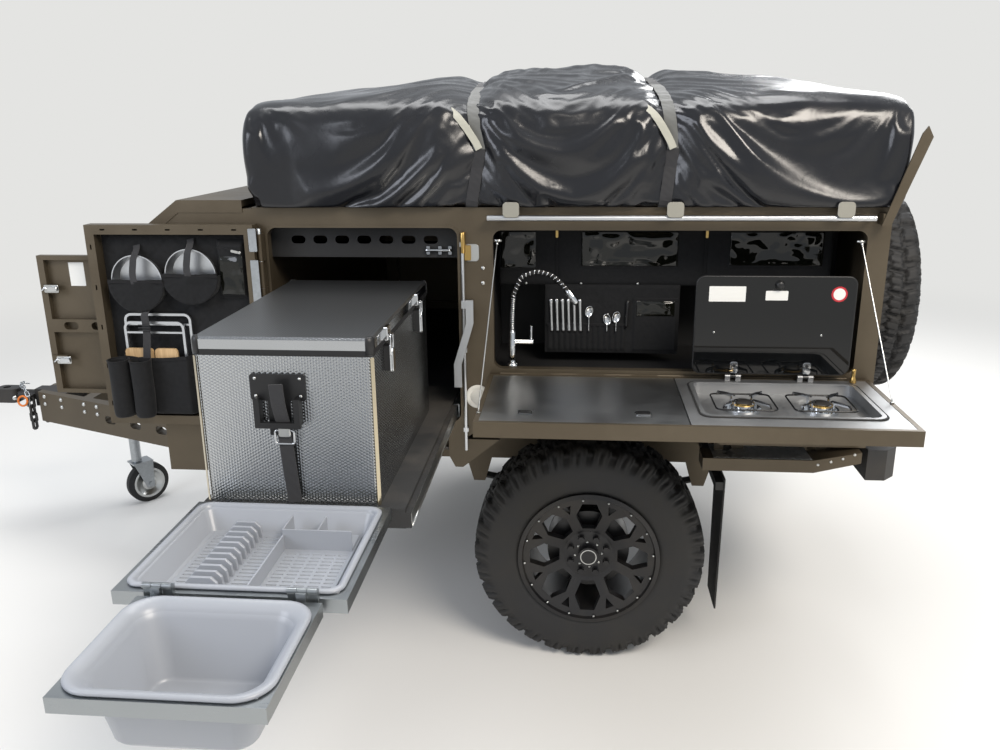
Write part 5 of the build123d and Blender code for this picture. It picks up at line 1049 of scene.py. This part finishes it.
# Kitchen organiser: black canvas hung from the rail behind the bench. A padded band with three clear
# windows between two brass zips, and a cutlery roll below it with steel knives, spoons and a pocket.
BAND_LOW, BAND_HIGH, BAND_FACE = (2.336, 0.660), (3.405, 0.8765), -0.7235
ZIPS_X = (2.525, 3.007)
s, t = two_ways((180, 44), BAND_LOW, BAND_HIGH)
band_rise = 0.0035 * inside(*two_ways((180, 44)), 0.01, 0.01, 0.06, 0.06)
band_rise = band_rise + 0.0022 * smooth_noise(np.stack([s, 0 * s, t], -1), 0.11, 61)
for x in ZIPS_X:
    band_rise = band_rise - 0.004 * np.exp(-((s - x) / 0.008) ** 2)
organiser_band = stuffed_slab("kitchen_organiser_band", BAND_LOW, BAND_HIGH, BAND_FACE, -0.706, band_rise,
                              "root", "kitchen_organiser")
for count, (x0, x1, z0) in enumerate(((2.3420, 2.456, 0.717), (2.606, 2.917, 0.724), (3.083, 3.375, 0.728))):
    film_window(f"organiser_window_{count}", (x0, z0), (x1, 0.836), BAND_FACE - 0.0055, "root",
                70 + count, swell=0.006)
    for side, z in enumerate((z0 - 0.002, 0.838)):
        hem = np.linspace((x0 - 0.003, BAND_FACE - 0.0050, z), (x1 + 0.003, BAND_FACE - 0.0050, z), 12)
        binding(f"organiser_window_hem_{count}_{side}", hem, "root", 0.008, 0.0024)
for count, x in enumerate(ZIPS_X):
    zip_line(f"organiser_zip_{count}", (x, BAND_FACE - 0.0028, 0.848), (x, BAND_FACE - 0.0028, 0.668),
             zip_brass, "root")
domes("organiser_studs", [(x, BAND_FACE - 0.0030, 0.6645) for x in (2.424, 2.606, 2.792)], -Y, 0.0045, 0.0022,
      zinc_bolt, "root")

ROLL_LOW, ROLL_HIGH, ROLL_FACE = (2.487, 0.430), (2.930, 0.662), -0.7345
CHANNELS_FROM, CHANNELS_TO, CHANNEL_PITCH = 2.494, 2.757, 0.0188
s, t = two_ways((150, 60), ROLL_LOW, ROLL_HIGH)
over_foot = smooth_step(0.436, 0.446, t)
channels = (s > CHANNELS_FROM) * (s < CHANNELS_TO) * (1 - smooth_step(0.526, 0.532, t)) * over_foot
roll_rise = 0.0018 * inside(*two_ways((150, 60)), 0.02, 0.02, 0.05, 0.05)
roll_rise = roll_rise + 0.0055 * channels * np.abs(np.sin((s - CHANNELS_FROM) * np.pi / CHANNEL_PITCH))
side_pocket = smooth_step(2.778, 2.786, s) * (1 - smooth_step(2.918, 2.926, s))
side_pocket = side_pocket * (1 - smooth_step(0.612, 0.618, t))
roll_rise = roll_rise + 0.0045 * side_pocket * over_foot
cutlery_roll = stuffed_slab("kitchen_cutlery_roll", ROLL_LOW, ROLL_HIGH, ROLL_FACE, -0.715, roll_rise, "root",
                            "kitchen_organiser")
film_window("cutlery_roll_window", (2.790, 0.560), (2.914, 0.610), ROLL_FACE - 0.0062, "root",
            88)
for name, z, x0, x1 in (("channels", 0.5285, CHANNELS_FROM, CHANNELS_TO), ("pocket", 0.6155, 2.780, 2.924)):
    hem = np.linspace((x0, ROLL_FACE - 0.0066, z), (x1, ROLL_FACE - 0.0066, z), 30)
    binding(f"cutlery_roll_hem_{name}", hem, "root", 0.009)

# Knives and spoons: forged steel handles, flat and waisted, standing in the roll's channels
steel_handle = brushed("forged_steel_handle", "#c6c7c8", 0.2, run_axis=2, strength=0.05)
rise = np.linspace(0, 1, 24)[:, None]
waist = 0.0058 - 0.0014 * np.sin(np.pi * rise) + 0.0012 * smooth_step(0.8, 1, rise)
waist = waist * np.sqrt(np.clip((1.0 - rise) / 0.07, 0.02, 1))
turn = circle(16)
for count in range(6):
    handle = [2.511 + 0.0192 * count - 0.004 * rise + waist * np.cos(turn),
              ROLL_FACE - 0.0075 + 0.55 * waist * np.sin(turn), 0.505 + 0.112 * rise + 0 * turn]
    mesh_piece(f"knife_handle_{count}", np.stack(handle, -1), capped(24, 16), steel_handle, "root")
s, t = np.meshgrid(np.linspace(0, 1, 12), circle(32), indexing="ij")
bowl_x, bowl_z = 0.0125 * s * np.cos(t), 0.019 * s * np.sin(t)
for count, (x, z, turned) in enumerate(((2.634, 0.574, 0.2), (2.694, 0.548, -0.3), (2.724, 0.556, 0.25))):
    bowl = np.stack([x + bowl_x * np.cos(turned) + bowl_z * np.sin(turned),
                     ROLL_FACE - 0.0105 + 0.005 * (1 - s ** 2),
                     z - bowl_x * np.sin(turned) + bowl_z * np.cos(turned)], -1)
    thicken(mesh_piece(f"spoon_bowl_{count}", bowl, grid_faces(12, 32, wrap=True), chrome, "root"), 0.0012, 0)
    stem = np.linspace((x, ROLL_FACE - 0.0095, z - 0.016), (x, ROLL_FACE - 0.009, 0.505), 10)
    tube(f"spoon_stem_{count}", stem, 0.0022, chrome, "root")
tube("peeler_handle", np.linspace((2.757, ROLL_FACE - 0.0085, 0.520), (2.761, ROLL_FACE - 0.0085, 0.614), 10),
     0.0052 * np.array([1, 1, 1, 0.95, 0.9, 0.9, 0.95, 1.05, 1.0, 0.5]), black_plastic, "root")


# Kitchen tap: chromed brass column and side lever, and a pull-out black hose inside a bright coiled
# spring, with a chromed nozzle. It stands on the bench floor behind the table.
TAP_X, TAP_Y, TAP_FOOT = 2.385, -0.836, 0.395


def spindle(name, foot, way, steps, radii, material, body, sides=12):
    """A straight bar turned to a radius at each step along its way from the foot."""
    return tube(name, np.asarray(foot) + np.outer(steps, way), radii, material, body, sides=sides)


tap_foot = spindle("tap_base", (TAP_X, TAP_Y, TAP_FOOT), Z, (0.0003, 0.002, 0.006, 0.020, 0.024, 0.030),
                   [0.022, 0.0225, 0.021, 0.0205, 0.018, 0.0135], chrome, "root", sides=28)
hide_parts("kitchen_tap")
spindle("tap_column", (TAP_X, TAP_Y, TAP_FOOT), Z, (0.024, 0.060, 0.104, 0.108, 0.128, 0.134),
        [0.0130, 0.0130, 0.0130, 0.0112, 0.0112, 0.0085], chrome, "root", sides=24)
spindle("tap_lever", (TAP_X, TAP_Y, TAP_FOOT + 0.097), X, (0.0, 0.012, 0.014, 0.066, 0.070),
        [0.0115, 0.0115, 0.0098, 0.0098, 0.0080], chrome, "root", sides=20)
spindle("tap_grip", (TAP_X + 0.062, TAP_Y, TAP_FOOT), Z, (0.100, 0.103, 0.146, 0.149),
        [0.0030, 0.0042, 0.0036, 0.0024], chrome, "root")
# Columns: x and z of the hose from the tap's foot
HOSE_KNOTS = np.array([(0.000, 0.100), (0.000, 0.170), (0.004, 0.250), (0.030, 0.312), (0.080, 0.330),
                       (0.130, 0.316),
                       (0.168, 0.280), (0.188, 0.252)])
along = np.concatenate([[0], np.cumsum(np.linalg.norm(np.diff(HOSE_KNOTS, axis=0), axis=1))])
fine = np.linspace(0, along[-1], 600)
hose_x, hose_z = [eased_run(np.interp(fine, along, knots), 40, mode="reflect", reflect_type="odd")
                  for knots in HOSE_KNOTS.T]
hose = np.column_stack([TAP_X + hose_x, np.full(600, TAP_Y), TAP_FOOT + hose_z])
tube("tap_hose", hose[::6], 0.0062, rubber, "root", sides=16)
hose_way = unit(np.gradient(hose, axis=0))
# The spring's turns lie close up the hose's straight foot and open out over its bend
coil_turn = np.cumsum(np.interp(np.arange(600), [0, 190, 230, 600], [0.70, 0.70, 0.30, 0.30]))[:, None]
coil = hose + 0.0088 * (np.cos(coil_turn) * np.cross(hose_way, Y) + np.sin(coil_turn) * Y)
tube("tap_spring", coil[15:-25], 0.0017, chrome, "root", sides=8)
spindle("tap_nozzle", hose[-18], hose_way[-18], (-0.006, -0.002, 0.010, 0.012, 0.040, 0.046),
        [0.0098, 0.0112, 0.0112, 0.0122, 0.0110, 0.0092], chrome, "root", sides=24)


# Hob: pressed stainless basin with a black seal round its mouth, enamelled wire pan grids, dark burner
# caps, and a black glass lid with chromed hinge straps, a knob, blank rating labels and a blank disc.
HOB_LOW, HOB_HIGH, HOB_TOP = np.array([2.940, -1.290]), np.array([3.440, -0.960]), 0.401
LID_X, LID_FACE, LID_Z = (2.956, 3.424), -0.9425, (0.427, 0.727)
BURNER_Y = -1.125
loop("hob_mouth_seal", (*(HOB_LOW + HOB_HIGH) / 2, HOB_TOP + 0.0008), X, Y,
     rounded(*(HOB_HIGH - HOB_LOW + 0.006), 0.034, steps=10), 0.0024, rubber, "kitchen_table")
enamel = finish("black_enamelled_wire", "#101011", 0.25)[0]
burner_cap = powder_coat("dark_enamel_burner_cap", "#1a1918", "#3a3026", 0.42, 0.2, dust=0.4)
brass_ring = finish("burner_brass", "#b99a5e", 0.3, 1.0)[0]
# Columns: reach from the burner's middle and height of a grid's finger
FINGER = [(0.094, 0.3935), (0.090, 0.4040), (0.060, 0.4068), (0.034, 0.4068), (0.031, 0.4030)]
for count, x in enumerate((3.080, 3.300)):
    loop(f"hob_grid_frame_{count}", (x, BURNER_Y, 0.3925), X, Y, rounded(0.172, 0.150, 0.018), 0.0026, enamel,
         "kitchen_table")
    for turn in range(4):
        angle = np.pi / 4 + turn * np.pi / 2
        finger = [(x + reach * np.cos(angle), BURNER_Y + reach * np.sin(angle), z) for reach, z in FINGER]
        tube(f"hob_grid_finger_{count}_{turn}", finger, 0.0024, enamel, "kitchen_table")
    domes(f"burner_cap_{count}", [(x, BURNER_Y, 0.3935)], Z, 0.0275, 0.0055, burner_cap, "kitchen_table",
          sides=36)
    loop(f"burner_ring_{count}", (x, BURNER_Y, 0.3885), X, Y, 0.0325 * disc(40), 0.0022, brass_ring,
         "kitchen_table")
    front_plate(f"hob_lid_strap_{count}", (x, LID_FACE - 0.0004, 0.4445), (0.024, 0.037, 0.008), 0.0024,
                chrome, "hob_lid", 0.0008)
    domes(f"hob_lid_strap_screw_{count}", [(x, LID_FACE - 0.0028, 0.452)], -Y, 0.0055, 0.0028, black_plastic,
          "hob_lid")
paper = finish("blank_white_label", "#dcdcd8", 0.5)[0]
disc_red = finish("blank_red_disc_ring", "#b3202c", 0.4)[0]


def lid_at(share):
    """x at that share of the hob lid's width."""
    return LID_X[0] + share * (LID_X[1] - LID_X[0])


for name, f0, f1, z0, z1 in (("wide", 0.077, 0.310, 0.652, 0.699), ("small", 0.436, 0.577, 0.657, 0.686)):
    front_plate(f"hob_lid_label_{name}", ((lid_at(f0) + lid_at(f1)) / 2, LID_FACE - 0.0001, (z0 + z1) / 2),
                (lid_at(f1) - lid_at(f0), z1 - z0, 0.002), 0.0004, paper, "hob_lid", 0.0001)
for name, out, radius, thick, material in (("hob_lid_disc_ring", 0.0001, 0.0235, 0.0004, disc_red),
                                           ("hob_lid_disc", 0.0005, 0.0178, 0.0003, paper)):
    plate(name, (lid_at(0.897), LID_FACE - out, 0.677), X, Z, disc(48) * radius, thick, material, "hob_lid",
          edge=0.0001)
spindle("hob_lid_knob", (lid_at(0.52), LID_FACE, 0.704), -Y, (0.0, 0.001, 0.010, 0.013, 0.0135),
        [0.0150, 0.0135, 0.0120, 0.0100, 0.0030], black_plastic, "hob_lid", sides=28)
domes("hob_lid_screws", [(lid_at(0.122), LID_FACE - 0.0002, 0.556),
                         (lid_at(0.808), LID_FACE - 0.0002, 0.550)], -Y,
      0.0036, 0.0018, zinc_bolt, "hob_lid")
loop("hob_lid_trim", (sum(LID_X) / 2, -0.938, sum(LID_Z) / 2), X, Z,
     rounded(LID_X[1] - LID_X[0] + 0.001, LID_Z[1] - LID_Z[0] + 0.001, 0.024, steps=10), 0.0038,
     black_plastic, "hob_lid")


# Bench: the steel top has two black spring latches, each in a chromed ring let in flush near its front
# edge, and a turned brass knob at its rear corner. All are bought in and screwed on.
for count, (x, y) in enumerate(((2.453, -1.279), (2.781, -1.268))):
    plate(f"bench_latch_ring_{count}", (x, y, 0.4000), X, Y, rounded(0.040, 0.034, 0.005), 0.0012, chrome,
          "kitchen_table", edge=0.0005)
    plate(f"bench_latch_{count}", (x, y, 0.4011), X, Y, rounded(0.033, 0.027, 0.004), 0.0016, black_plastic,
          "kitchen_table")
spindle("bench_brass_knob", (3.443, -0.940, 0.4013), Z, (0.0, 0.002, 0.016, 0.018, 0.034, 0.042, 0.044),
        [0.010, 0.0105, 0.0065, 0.0055, 0.0060, 0.0075, 0.003], brass_ring, "kitchen_table", sides=20)


# Front end: round-headed bolts hold the coupling plate to the drawbar, a short chain with an orange
# lifting ring lies over the coupling, and zinc toggle latches hold the nose door. All are bought in.
drawbar_out = np.array([-0.37, -0.93, 0]) / np.hypot(0.37, 0.93)
BOLTS_AT = ((0.2255, -0.0800), (0.3282, -0.1204), (0.4649, -0.1743), (0.5393, -0.2036))
drawbar_bolts = np.array([(x, y, z) for x, y in BOLTS_AT for z in (0.016, -0.018)])
for name, sign in (("left", 1), ("right", -1)):
    domes("drawbar_bolts_" + name, drawbar_bolts * [1, sign, 1], drawbar_out * [1, sign, 1], 0.0095, 0.0065,
          zinc_bolt, "root", sides=18)
domes("coupling_pin_head", [(0.0518, -0.0316, -0.0093)], (0.58, -0.82, 0), 0.011, 0.005, zinc_bolt, "root",
      sides=20)
orange = finish("orange_painted_steel", "#d0701f", 0.4)[0]
loop("lifting_ring", (0.126, -0.0875, -0.004), X, Z + Y * 0.004 / 0.0215, 0.0215 * disc(48), 0.0045, orange,
     "root")


def chain(name, path, long, wide, wire, material, body):
    """Oval links laid along a smooth line, each turned a quarter from its neighbour and hooked into it."""
    run = np.concatenate([[0], np.cumsum(np.linalg.norm(np.diff(path, axis=0), axis=1))])
    pitch = long - 2.2 * wire
    turn = circle(28)
    round_off = (wide - wire) / 2
    along = round_off * np.cos(turn) + np.sign(np.cos(turn)) * (long - wide) / 2
    for k in range(int(run[-1] / pitch)):
        middle, front, behind = [np.array([np.interp((k + part) * pitch, run, path[:, i]) for i in range(3)])
                                 for part in (0.5, 0.9, 0.1)]
        ahead = unit(front - behind)
        side = unit(np.cross(ahead, [0.2, 0.9, 0.3]))
        side = side if k % 2 else np.cross(ahead, side)
        link = middle + along[:, None] * ahead + (round_off * np.sin(turn))[:, None] * side
        tube(f"{name}_{k}", link, wire / 2, material, body, sides=8, closed=True)


chain_bend = np.array([(0.140, -0.074, -0.030), (0.146, -0.076, 0.020), (0.118, -0.055, 0.050),
                       (0.085, -0.020, 0.049),
                       (0.062, 0.022, 0.046), (0.070, 0.055, 0.034)])
chain_line = np.column_stack([np.interp(np.linspace(0, 1, 40), np.linspace(0, 1, 6), bend)
                              for bend in chain_bend.T])
chain("coupling_chain", chain_line, 0.034, 0.021, 0.0052, galvanised, "root")

front_plate("nose_door_label", (0.9505, -0.8758, 0.7115), (0.052, 0.078, 0.001), 0.0005, paper, "nose_door",
            0.0001)
for count, (x, z) in enumerate(((0.866, 0.667), (0.872, 0.424))):
    front_plate(f"nose_latch_base_{count}", (x + 0.004, -0.9018, z), (0.050, 0.026, 0.004), 0.0022,
                zinc_bolt, "nose_door")
    front_plate(f"nose_latch_lever_{count}", (x + 0.010, -0.9075, z), (0.034, 0.015, 0.005), 0.0045, chrome,
                "nose_door", 0.0012)
    tube(f"nose_latch_hook_{count}", [(x - 0.008 - 0.004 * k, -0.9085, z + 0.0045 * np.sin(k))
                                      for k in range(6)],
         0.0026, chrome, "nose_door", sides=10)


# Jockey wheel: a pressed, zinc-plated disc each side of the solid rubber tyre, dished round its hub.
# The two discs are bolted together through the tyre.
JOCKEY_HUB, JOCKEY_AXLE = np.array([0.472712, 0.252642, -0.53]), np.array([0.766044, -0.642788, 0.0])
# Columns: radius, way along the axle from the wheel's middle
DISC_PROFILE = [(0.0755, 0.0240), (0.0755, 0.0262), (0.0720, 0.0266), (0.0430, 0.0162), (0.0385, 0.0175),
                (0.0320, 0.0298), (0.0120, 0.0300), (0.0115, 0.0325), (0.0100, 0.0335), (0.0010, 0.0335)]


def turned_part(name, profile, centre, axis, material, body, sides=48):
    """A surface of revolution: a profile of radius and way along the axis, carried round it."""
    axis = unit(axis)
    one = unit(np.cross(axis, Z if abs(axis[2]) < 0.9 else X))
    turn = circle(sides)[:, None]
    around = np.cos(turn) * one + np.sin(turn) * np.cross(axis, one)
    rings = [np.asarray(centre) + way * axis + radius * around for radius, way in profile]
    return mesh_piece(name, rings, capped(len(profile), sides), material, body)


for name, side in (("in", -1), ("out", 1)):
    turned_part(f"jockey_disc_{name}", DISC_PROFILE, JOCKEY_HUB, JOCKEY_AXLE * side, zinc_bolt,
                "jockey_wheel")


# Post between the bays: brass-topped lock rod, a zinc striker plate and two rivets, and the white
# plastic flange of the water inlet. A chromed barrel bolt holds the shelf over the fridge.
spindle("lock_rod_sleeve", (2.2375, -0.9035, 0), Z, (0.790, 0.792, 0.853, 0.855),
        [0.0070, 0.0082, 0.0082, 0.0070], brass_ring, "root")
front_plate("door_striker", (2.2640, -0.8958, 0.7905), (0.046, 0.054, 0.012), 0.0030, zinc_bolt, "root",
            0.001)
front_plate("door_striker_tongue", (2.2520, -0.8985, 0.7905), (0.020, 0.048, 0.004), 0.0070, brass_ring,
            "root", 0.0015)
domes("post_rivets", [(2.2985, -0.896, 0.7426), (2.2978, -0.896, 0.6951)], -Y, 0.0062, 0.0030, zinc_bolt,
      "root")
white_plastic = finish("white_abs_flange", "#d6d4cd", 0.35)[0]
turned_part("water_inlet_flange", [(0.0395, -0.0005), (0.0395, 0.0035), (0.0370, 0.0050), (0.0275, 0.0052),
                                   (0.0265, 0.0036), (0.0240, 0.0036), (0.0228, 0.0058), (0.0010, 0.0060)],
            (2.2760, -0.896, 0.3200), -Y, white_plastic, "root")
spindle("shelf_barrel_bolt", (2.108, -0.8432, 0.7900), X, 0.0095 * np.arange(10), 0.0052, chrome, "root")
for count, x in enumerate((2.118, 2.156, 2.188)):
    front_plate(f"shelf_bolt_keeper_{count}", (x, -0.8360, 0.7900), (0.012, 0.030, 0.003), 0.0095, chrome,
                "root", 0.0015)
# Galvanised knuckles of the pantry door's hinges, over the frame's own, and their leaves on the side
for count, (z0, z1) in enumerate(((0.800, 0.868), (0.640, 0.770), (0.250, 0.320))):
    sleeve_profile = [(0.0070, z0), (0.0079, z0 + 0.001), (0.0079, z1 - 0.001), (0.0070, z1)]
    turned_part(f"pantry_hinge_sleeve_{count}", sleeve_profile, (1.597, -0.926, 0), Z, galvanised,
                "pantry_door", sides=24)
    front_plate(f"pantry_hinge_leaf_{count}", (1.5835, -0.9484, (z0 + z1) / 2),
                (0.026, z1 - z0 + 0.004, 0.003), 0.0018, galvanised, "pantry_door")
# Pressed clips that hold the cover's hem cord over the rail
clip_zinc = finish("dull_zinc_clip", "#aaa79c", 0.45, 0.9)[0]
for count, x in enumerate((2.3907, 2.8793, 3.3701)):
    front_plate(f"cover_clip_{count}", (x, -0.9462, 0.9270), (0.050, 0.046, 0.012), 0.0026, clip_zinc,
                "root", 0.001)


# Step behind the wheel: aluminium chequer plate let into the bronze mudguard, pressed with raised
# lozenges that lie crosswise in turn. Rivets hold the slanted end of its lip.
STEP_LOW, STEP_HIGH, STEP_TOP, STEP_CELLS = (3.040, -0.922), (3.350, -0.800), 0.1366, (280, 112)
CHEQUER_PITCH, LOZENGE_HIGH, LOZENGE_LONG, LOZENGE_WIDE = 0.026, 0.0020, 0.46, 0.13
step_x, step_y = two_ways(STEP_CELLS, STEP_LOW, STEP_HIGH)
cell_x, cell_y = step_x / CHEQUER_PITCH, step_y / CHEQUER_PITCH
lean = np.where((np.floor(cell_x) + np.floor(cell_y)) % 2 == 0, 1.0, -1.0)
in_x, in_y = cell_x % 1 - 0.5, cell_y % 1 - 0.5
run_along, run_off = (in_x + lean * in_y) / np.sqrt(2), (in_x - lean * in_y) / np.sqrt(2)
lozenge = np.clip(1 - (run_along / LOZENGE_LONG) ** 2 - (run_off / LOZENGE_WIDE) ** 2, 0, 1) ** 0.5
chequer = np.stack([step_x, step_y, STEP_TOP + LOZENGE_HIGH * lozenge], -1)
chequer_metal = brushed("chequer_plate_aluminium", "#c9cbcc", 0.46, strength=0.05)
thicken(mesh_piece("step_chequer_plate", chequer, grid_faces(*STEP_CELLS), chequer_metal, "root"), 0.0012)
domes("step_rivets", [(3.3676, -0.93, 0.1220), (3.4068, -0.93, 0.1333), (3.4427, -0.93, 0.1445),
                      (3.4781, -0.93, 0.1591)],
      -Y, 0.0048, 0.0026, zinc_bolt, "root")


# Fridge slide: bright zinc inner runner along the tray's right edge, with its rolled lower lip. It is
# riveted to the tray and runs in the channel of the rail.
plate("slide_runner_web", (2.2008, -1.190, 0.2610), Y, Z, rounded(0.990, 0.030, 0.002), 0.0014, zinc_bolt,
      "slide", edge=0.0004)
spindle("slide_runner_lip", (2.2025, -1.685, 0.2430), Y, 0.11 * np.arange(10), 0.0024, zinc_bolt, "slide",
        sides=10)


# Table stays: a wire rope at each end from an eye on the jamb to a button on the table's edge. The
# rope is slack when the table is closed; here each is drawn as one straight wire, fixed in place.
for count, (top, foot, jamb) in enumerate((((2.344, -0.886, 0.827), (2.323, -1.297, 0.405), 2.3310),
                                           ((3.441, -0.886, 0.827), (3.494, -1.139, 0.405), 3.4545))):
    down = np.subtract(foot, top)
    wire = spindle(f"stay_wire_{count}", top, down, np.linspace(0.004, 0.996, 60), 0.0021, zinc_bolt, None)
    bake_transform(wire)
    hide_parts("stay_cables")
    spindle(f"stay_sleeve_top_{count}", top, down, (0.004, 0.006, 0.024, 0.027),
            [0.0030, 0.0042, 0.0042, 0.0030], zinc_bolt, "root")
    spindle(f"stay_eye_{count}", top, X, np.array([1, 0, -1]) * (jamb - top[0]), [0.0052, 0.0052, 0.0045],
            zinc_bolt, "root")
    spindle(f"stay_button_{count}", foot, Z, (-0.0036, 0.0, 0.0006), [0.0060, 0.0060, 0.0048], zinc_bolt,
            "kitchen_table")


# Wash tub: one pale grey moulding with flared walls and a rolled rim, dropped into its frame so the
# rim rests on the angles. Each ring of the moulding is the rim's outline, drawn in.
def moulding(name, middle, wide, long, corner, profile, faces_of, body):
    """A rectangular tray: a profile of inset and height round a rounded outline, both faces of the wall."""
    rings = []
    for inset, z in profile:
        outline = rounded(wide - 2 * inset, long - 2 * inset, max(corner - 0.45 * inset, 0.008), 12)
        outline = outline * (1 + 0.02 * inset * (1 - np.abs(outline[:, ::-1]) / [long / 2, wide / 2]))
        rings.append(np.column_stack([outline + middle, np.full(len(outline), z)]))
    return mesh_piece(name, rings, faces_of(len(rings), len(rings[0])), grey_plastic, body)


def ringed(rows, sides):
    """Faces of a row of closed rings whose last is joined to the first."""
    return grid_faces(rows + 1, sides, wrap=True, flip=True) % (rows * sides)


TUB_PROFILE = [(0.120, 0.1612), (0.070, 0.1603), (0.0620, 0.1625), (0.0565, 0.1715), (0.0360, 0.2850),
               (0.0285, 0.2960), (0.0225, 0.3034), (0.0180, 0.3055), (0.0110, 0.3066), (0.0070, 0.3058),
               (0.0040, 0.3036), (0.0010, 0.3050), (0.0000, 0.3085), (0.0018, 0.3118), (0.0055, 0.3132),
               (0.0095, 0.3126), (0.0160, 0.3095), (0.0225, 0.3050), (0.0275, 0.2985), (0.0335, 0.2860),
               (0.0535, 0.1730), (0.0580, 0.1665), (0.0660, 0.1635), (0.120, 0.1645)]
wash_tub = moulding("wash_tub_moulded", (1.930, -2.2995), 0.366, 0.299, 0.062, TUB_PROFILE, capped, "sink")
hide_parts("wash_tub")


# Dish drainer: the same plastic, with a row of plate fins, a slotted floor, a low wall that parts the
# bowl side, and two cups at the back. The floor's slots are real openings in a 3.5 mm sheet.
DRAINER_PROFILE = [(0.0560, 0.2513), (0.0560, 0.2473), (0.0470, 0.2478), (0.0420, 0.2520), (0.0275, 0.3000),
                   (0.0245, 0.3034), (0.0125, 0.3034), (0.0085, 0.3050), (0.0080, 0.3085), (0.0105, 0.3115),
                   (0.0150, 0.3122), (0.0195, 0.3112), (0.0225, 0.3075), (0.0245, 0.3010), (0.0385, 0.2540),
                   (0.0430, 0.2515)]
drainer_tray = moulding("drainer_moulded", (1.922, -1.920), 0.464, 0.404, 0.036, DRAINER_PROFILE, ringed,
                        "slide")
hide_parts("drainer")
CELL, FLOOR_TOP, SLOT_PITCH, SLOT_WIDE = 0.003, 0.2511, 0.015, 0.0075
floor_x, floor_y = np.arange(1.7450, 2.1000, CELL), np.arange(-2.0690, -1.7700, CELL)
middle_x, middle_y = np.meshgrid(floor_x[:-1] + CELL / 2, floor_y[:-1] + CELL / 2, indexing="ij")
slotted = np.zeros(middle_x.shape, bool)
# Columns: low x, high x, low y, high y of each field of slots, pitch along x and slot length
SLOT_FIELDS = [(1.754, 1.790, -2.052, -1.788, 0.036, 0.033), (1.874, 1.916, -2.052, -1.788, 0.042, 0.036),
               (1.950, 2.090, -2.052, -1.862, 0.030, 0.024)]
for low_x, high_x, low_y, high_y, pitch, slot_long in SLOT_FIELDS:
    within = (middle_x > low_x) & (middle_x < high_x) & (middle_y > low_y) & (middle_y < high_y)
    open_x, open_y = (middle_x - low_x) % pitch < slot_long, (middle_y - low_y) % SLOT_PITCH < SLOT_WIDE
    slotted |= within & open_x & open_y
floor_grid = np.stack([*np.meshgrid(floor_x, floor_y, indexing="ij"),
                       np.full((len(floor_x), len(floor_y)), FLOOR_TOP)], -1)
used, floor_faces = np.unique(grid_faces(len(floor_x), len(floor_y), flip=True)[~slotted.ravel()],
                              return_inverse=True)
drainer_floor = mesh_piece("drainer_slotted_floor", floor_grid.reshape(-1, 3)[used],
                           floor_faces.reshape(-1, 4), grey_plastic, "slide", smooth=False)
thicken(drainer_floor, 0.0035)
FIN = np.array([(-0.038, -0.021), (0.038, -0.021), (0.034, 0.010), (0.022, 0.0225), (-0.022, 0.0225),
                (-0.034, 0.010)])
for count in range(11):
    plate(f"drainer_fin_{count}", (1.832, -2.044 + 0.0255 * count, 0.2715), X, Z, FIN, 0.0065, grey_plastic,
          "slide", edge=0.0015)
# Columns: name, middle, way along, length, height, thickness
DRAINER_WALLS = [("divider", (1.936, -1.9550, 0.2705), Y, 0.222, 0.040, 0.0035),
                 ("cup_wall_0", (2.0160, -1.8420, 0.2770), X, 0.160, 0.053, 0.0032),
                 ("cup_wall_1", (1.9360, -1.8080, 0.2770), Y, 0.074, 0.053, 0.0032),
                 ("cup_wall_2", (2.0160, -1.8080, 0.2770), Y, 0.074, 0.053, 0.0032)]
for name, middle, along, long, high, thick in DRAINER_WALLS:
    plate(f"drainer_{name}", middle, along, Z, rounded(long, high, 0.003), thick, grey_plastic, "slide",
          edge=0.0008)
plate("drainer_cup_floor", (2.0160, -1.8080, 0.2560), X, Y, rounded(0.158, 0.070, 0.006), 0.0030,
      grey_plastic, "slide")
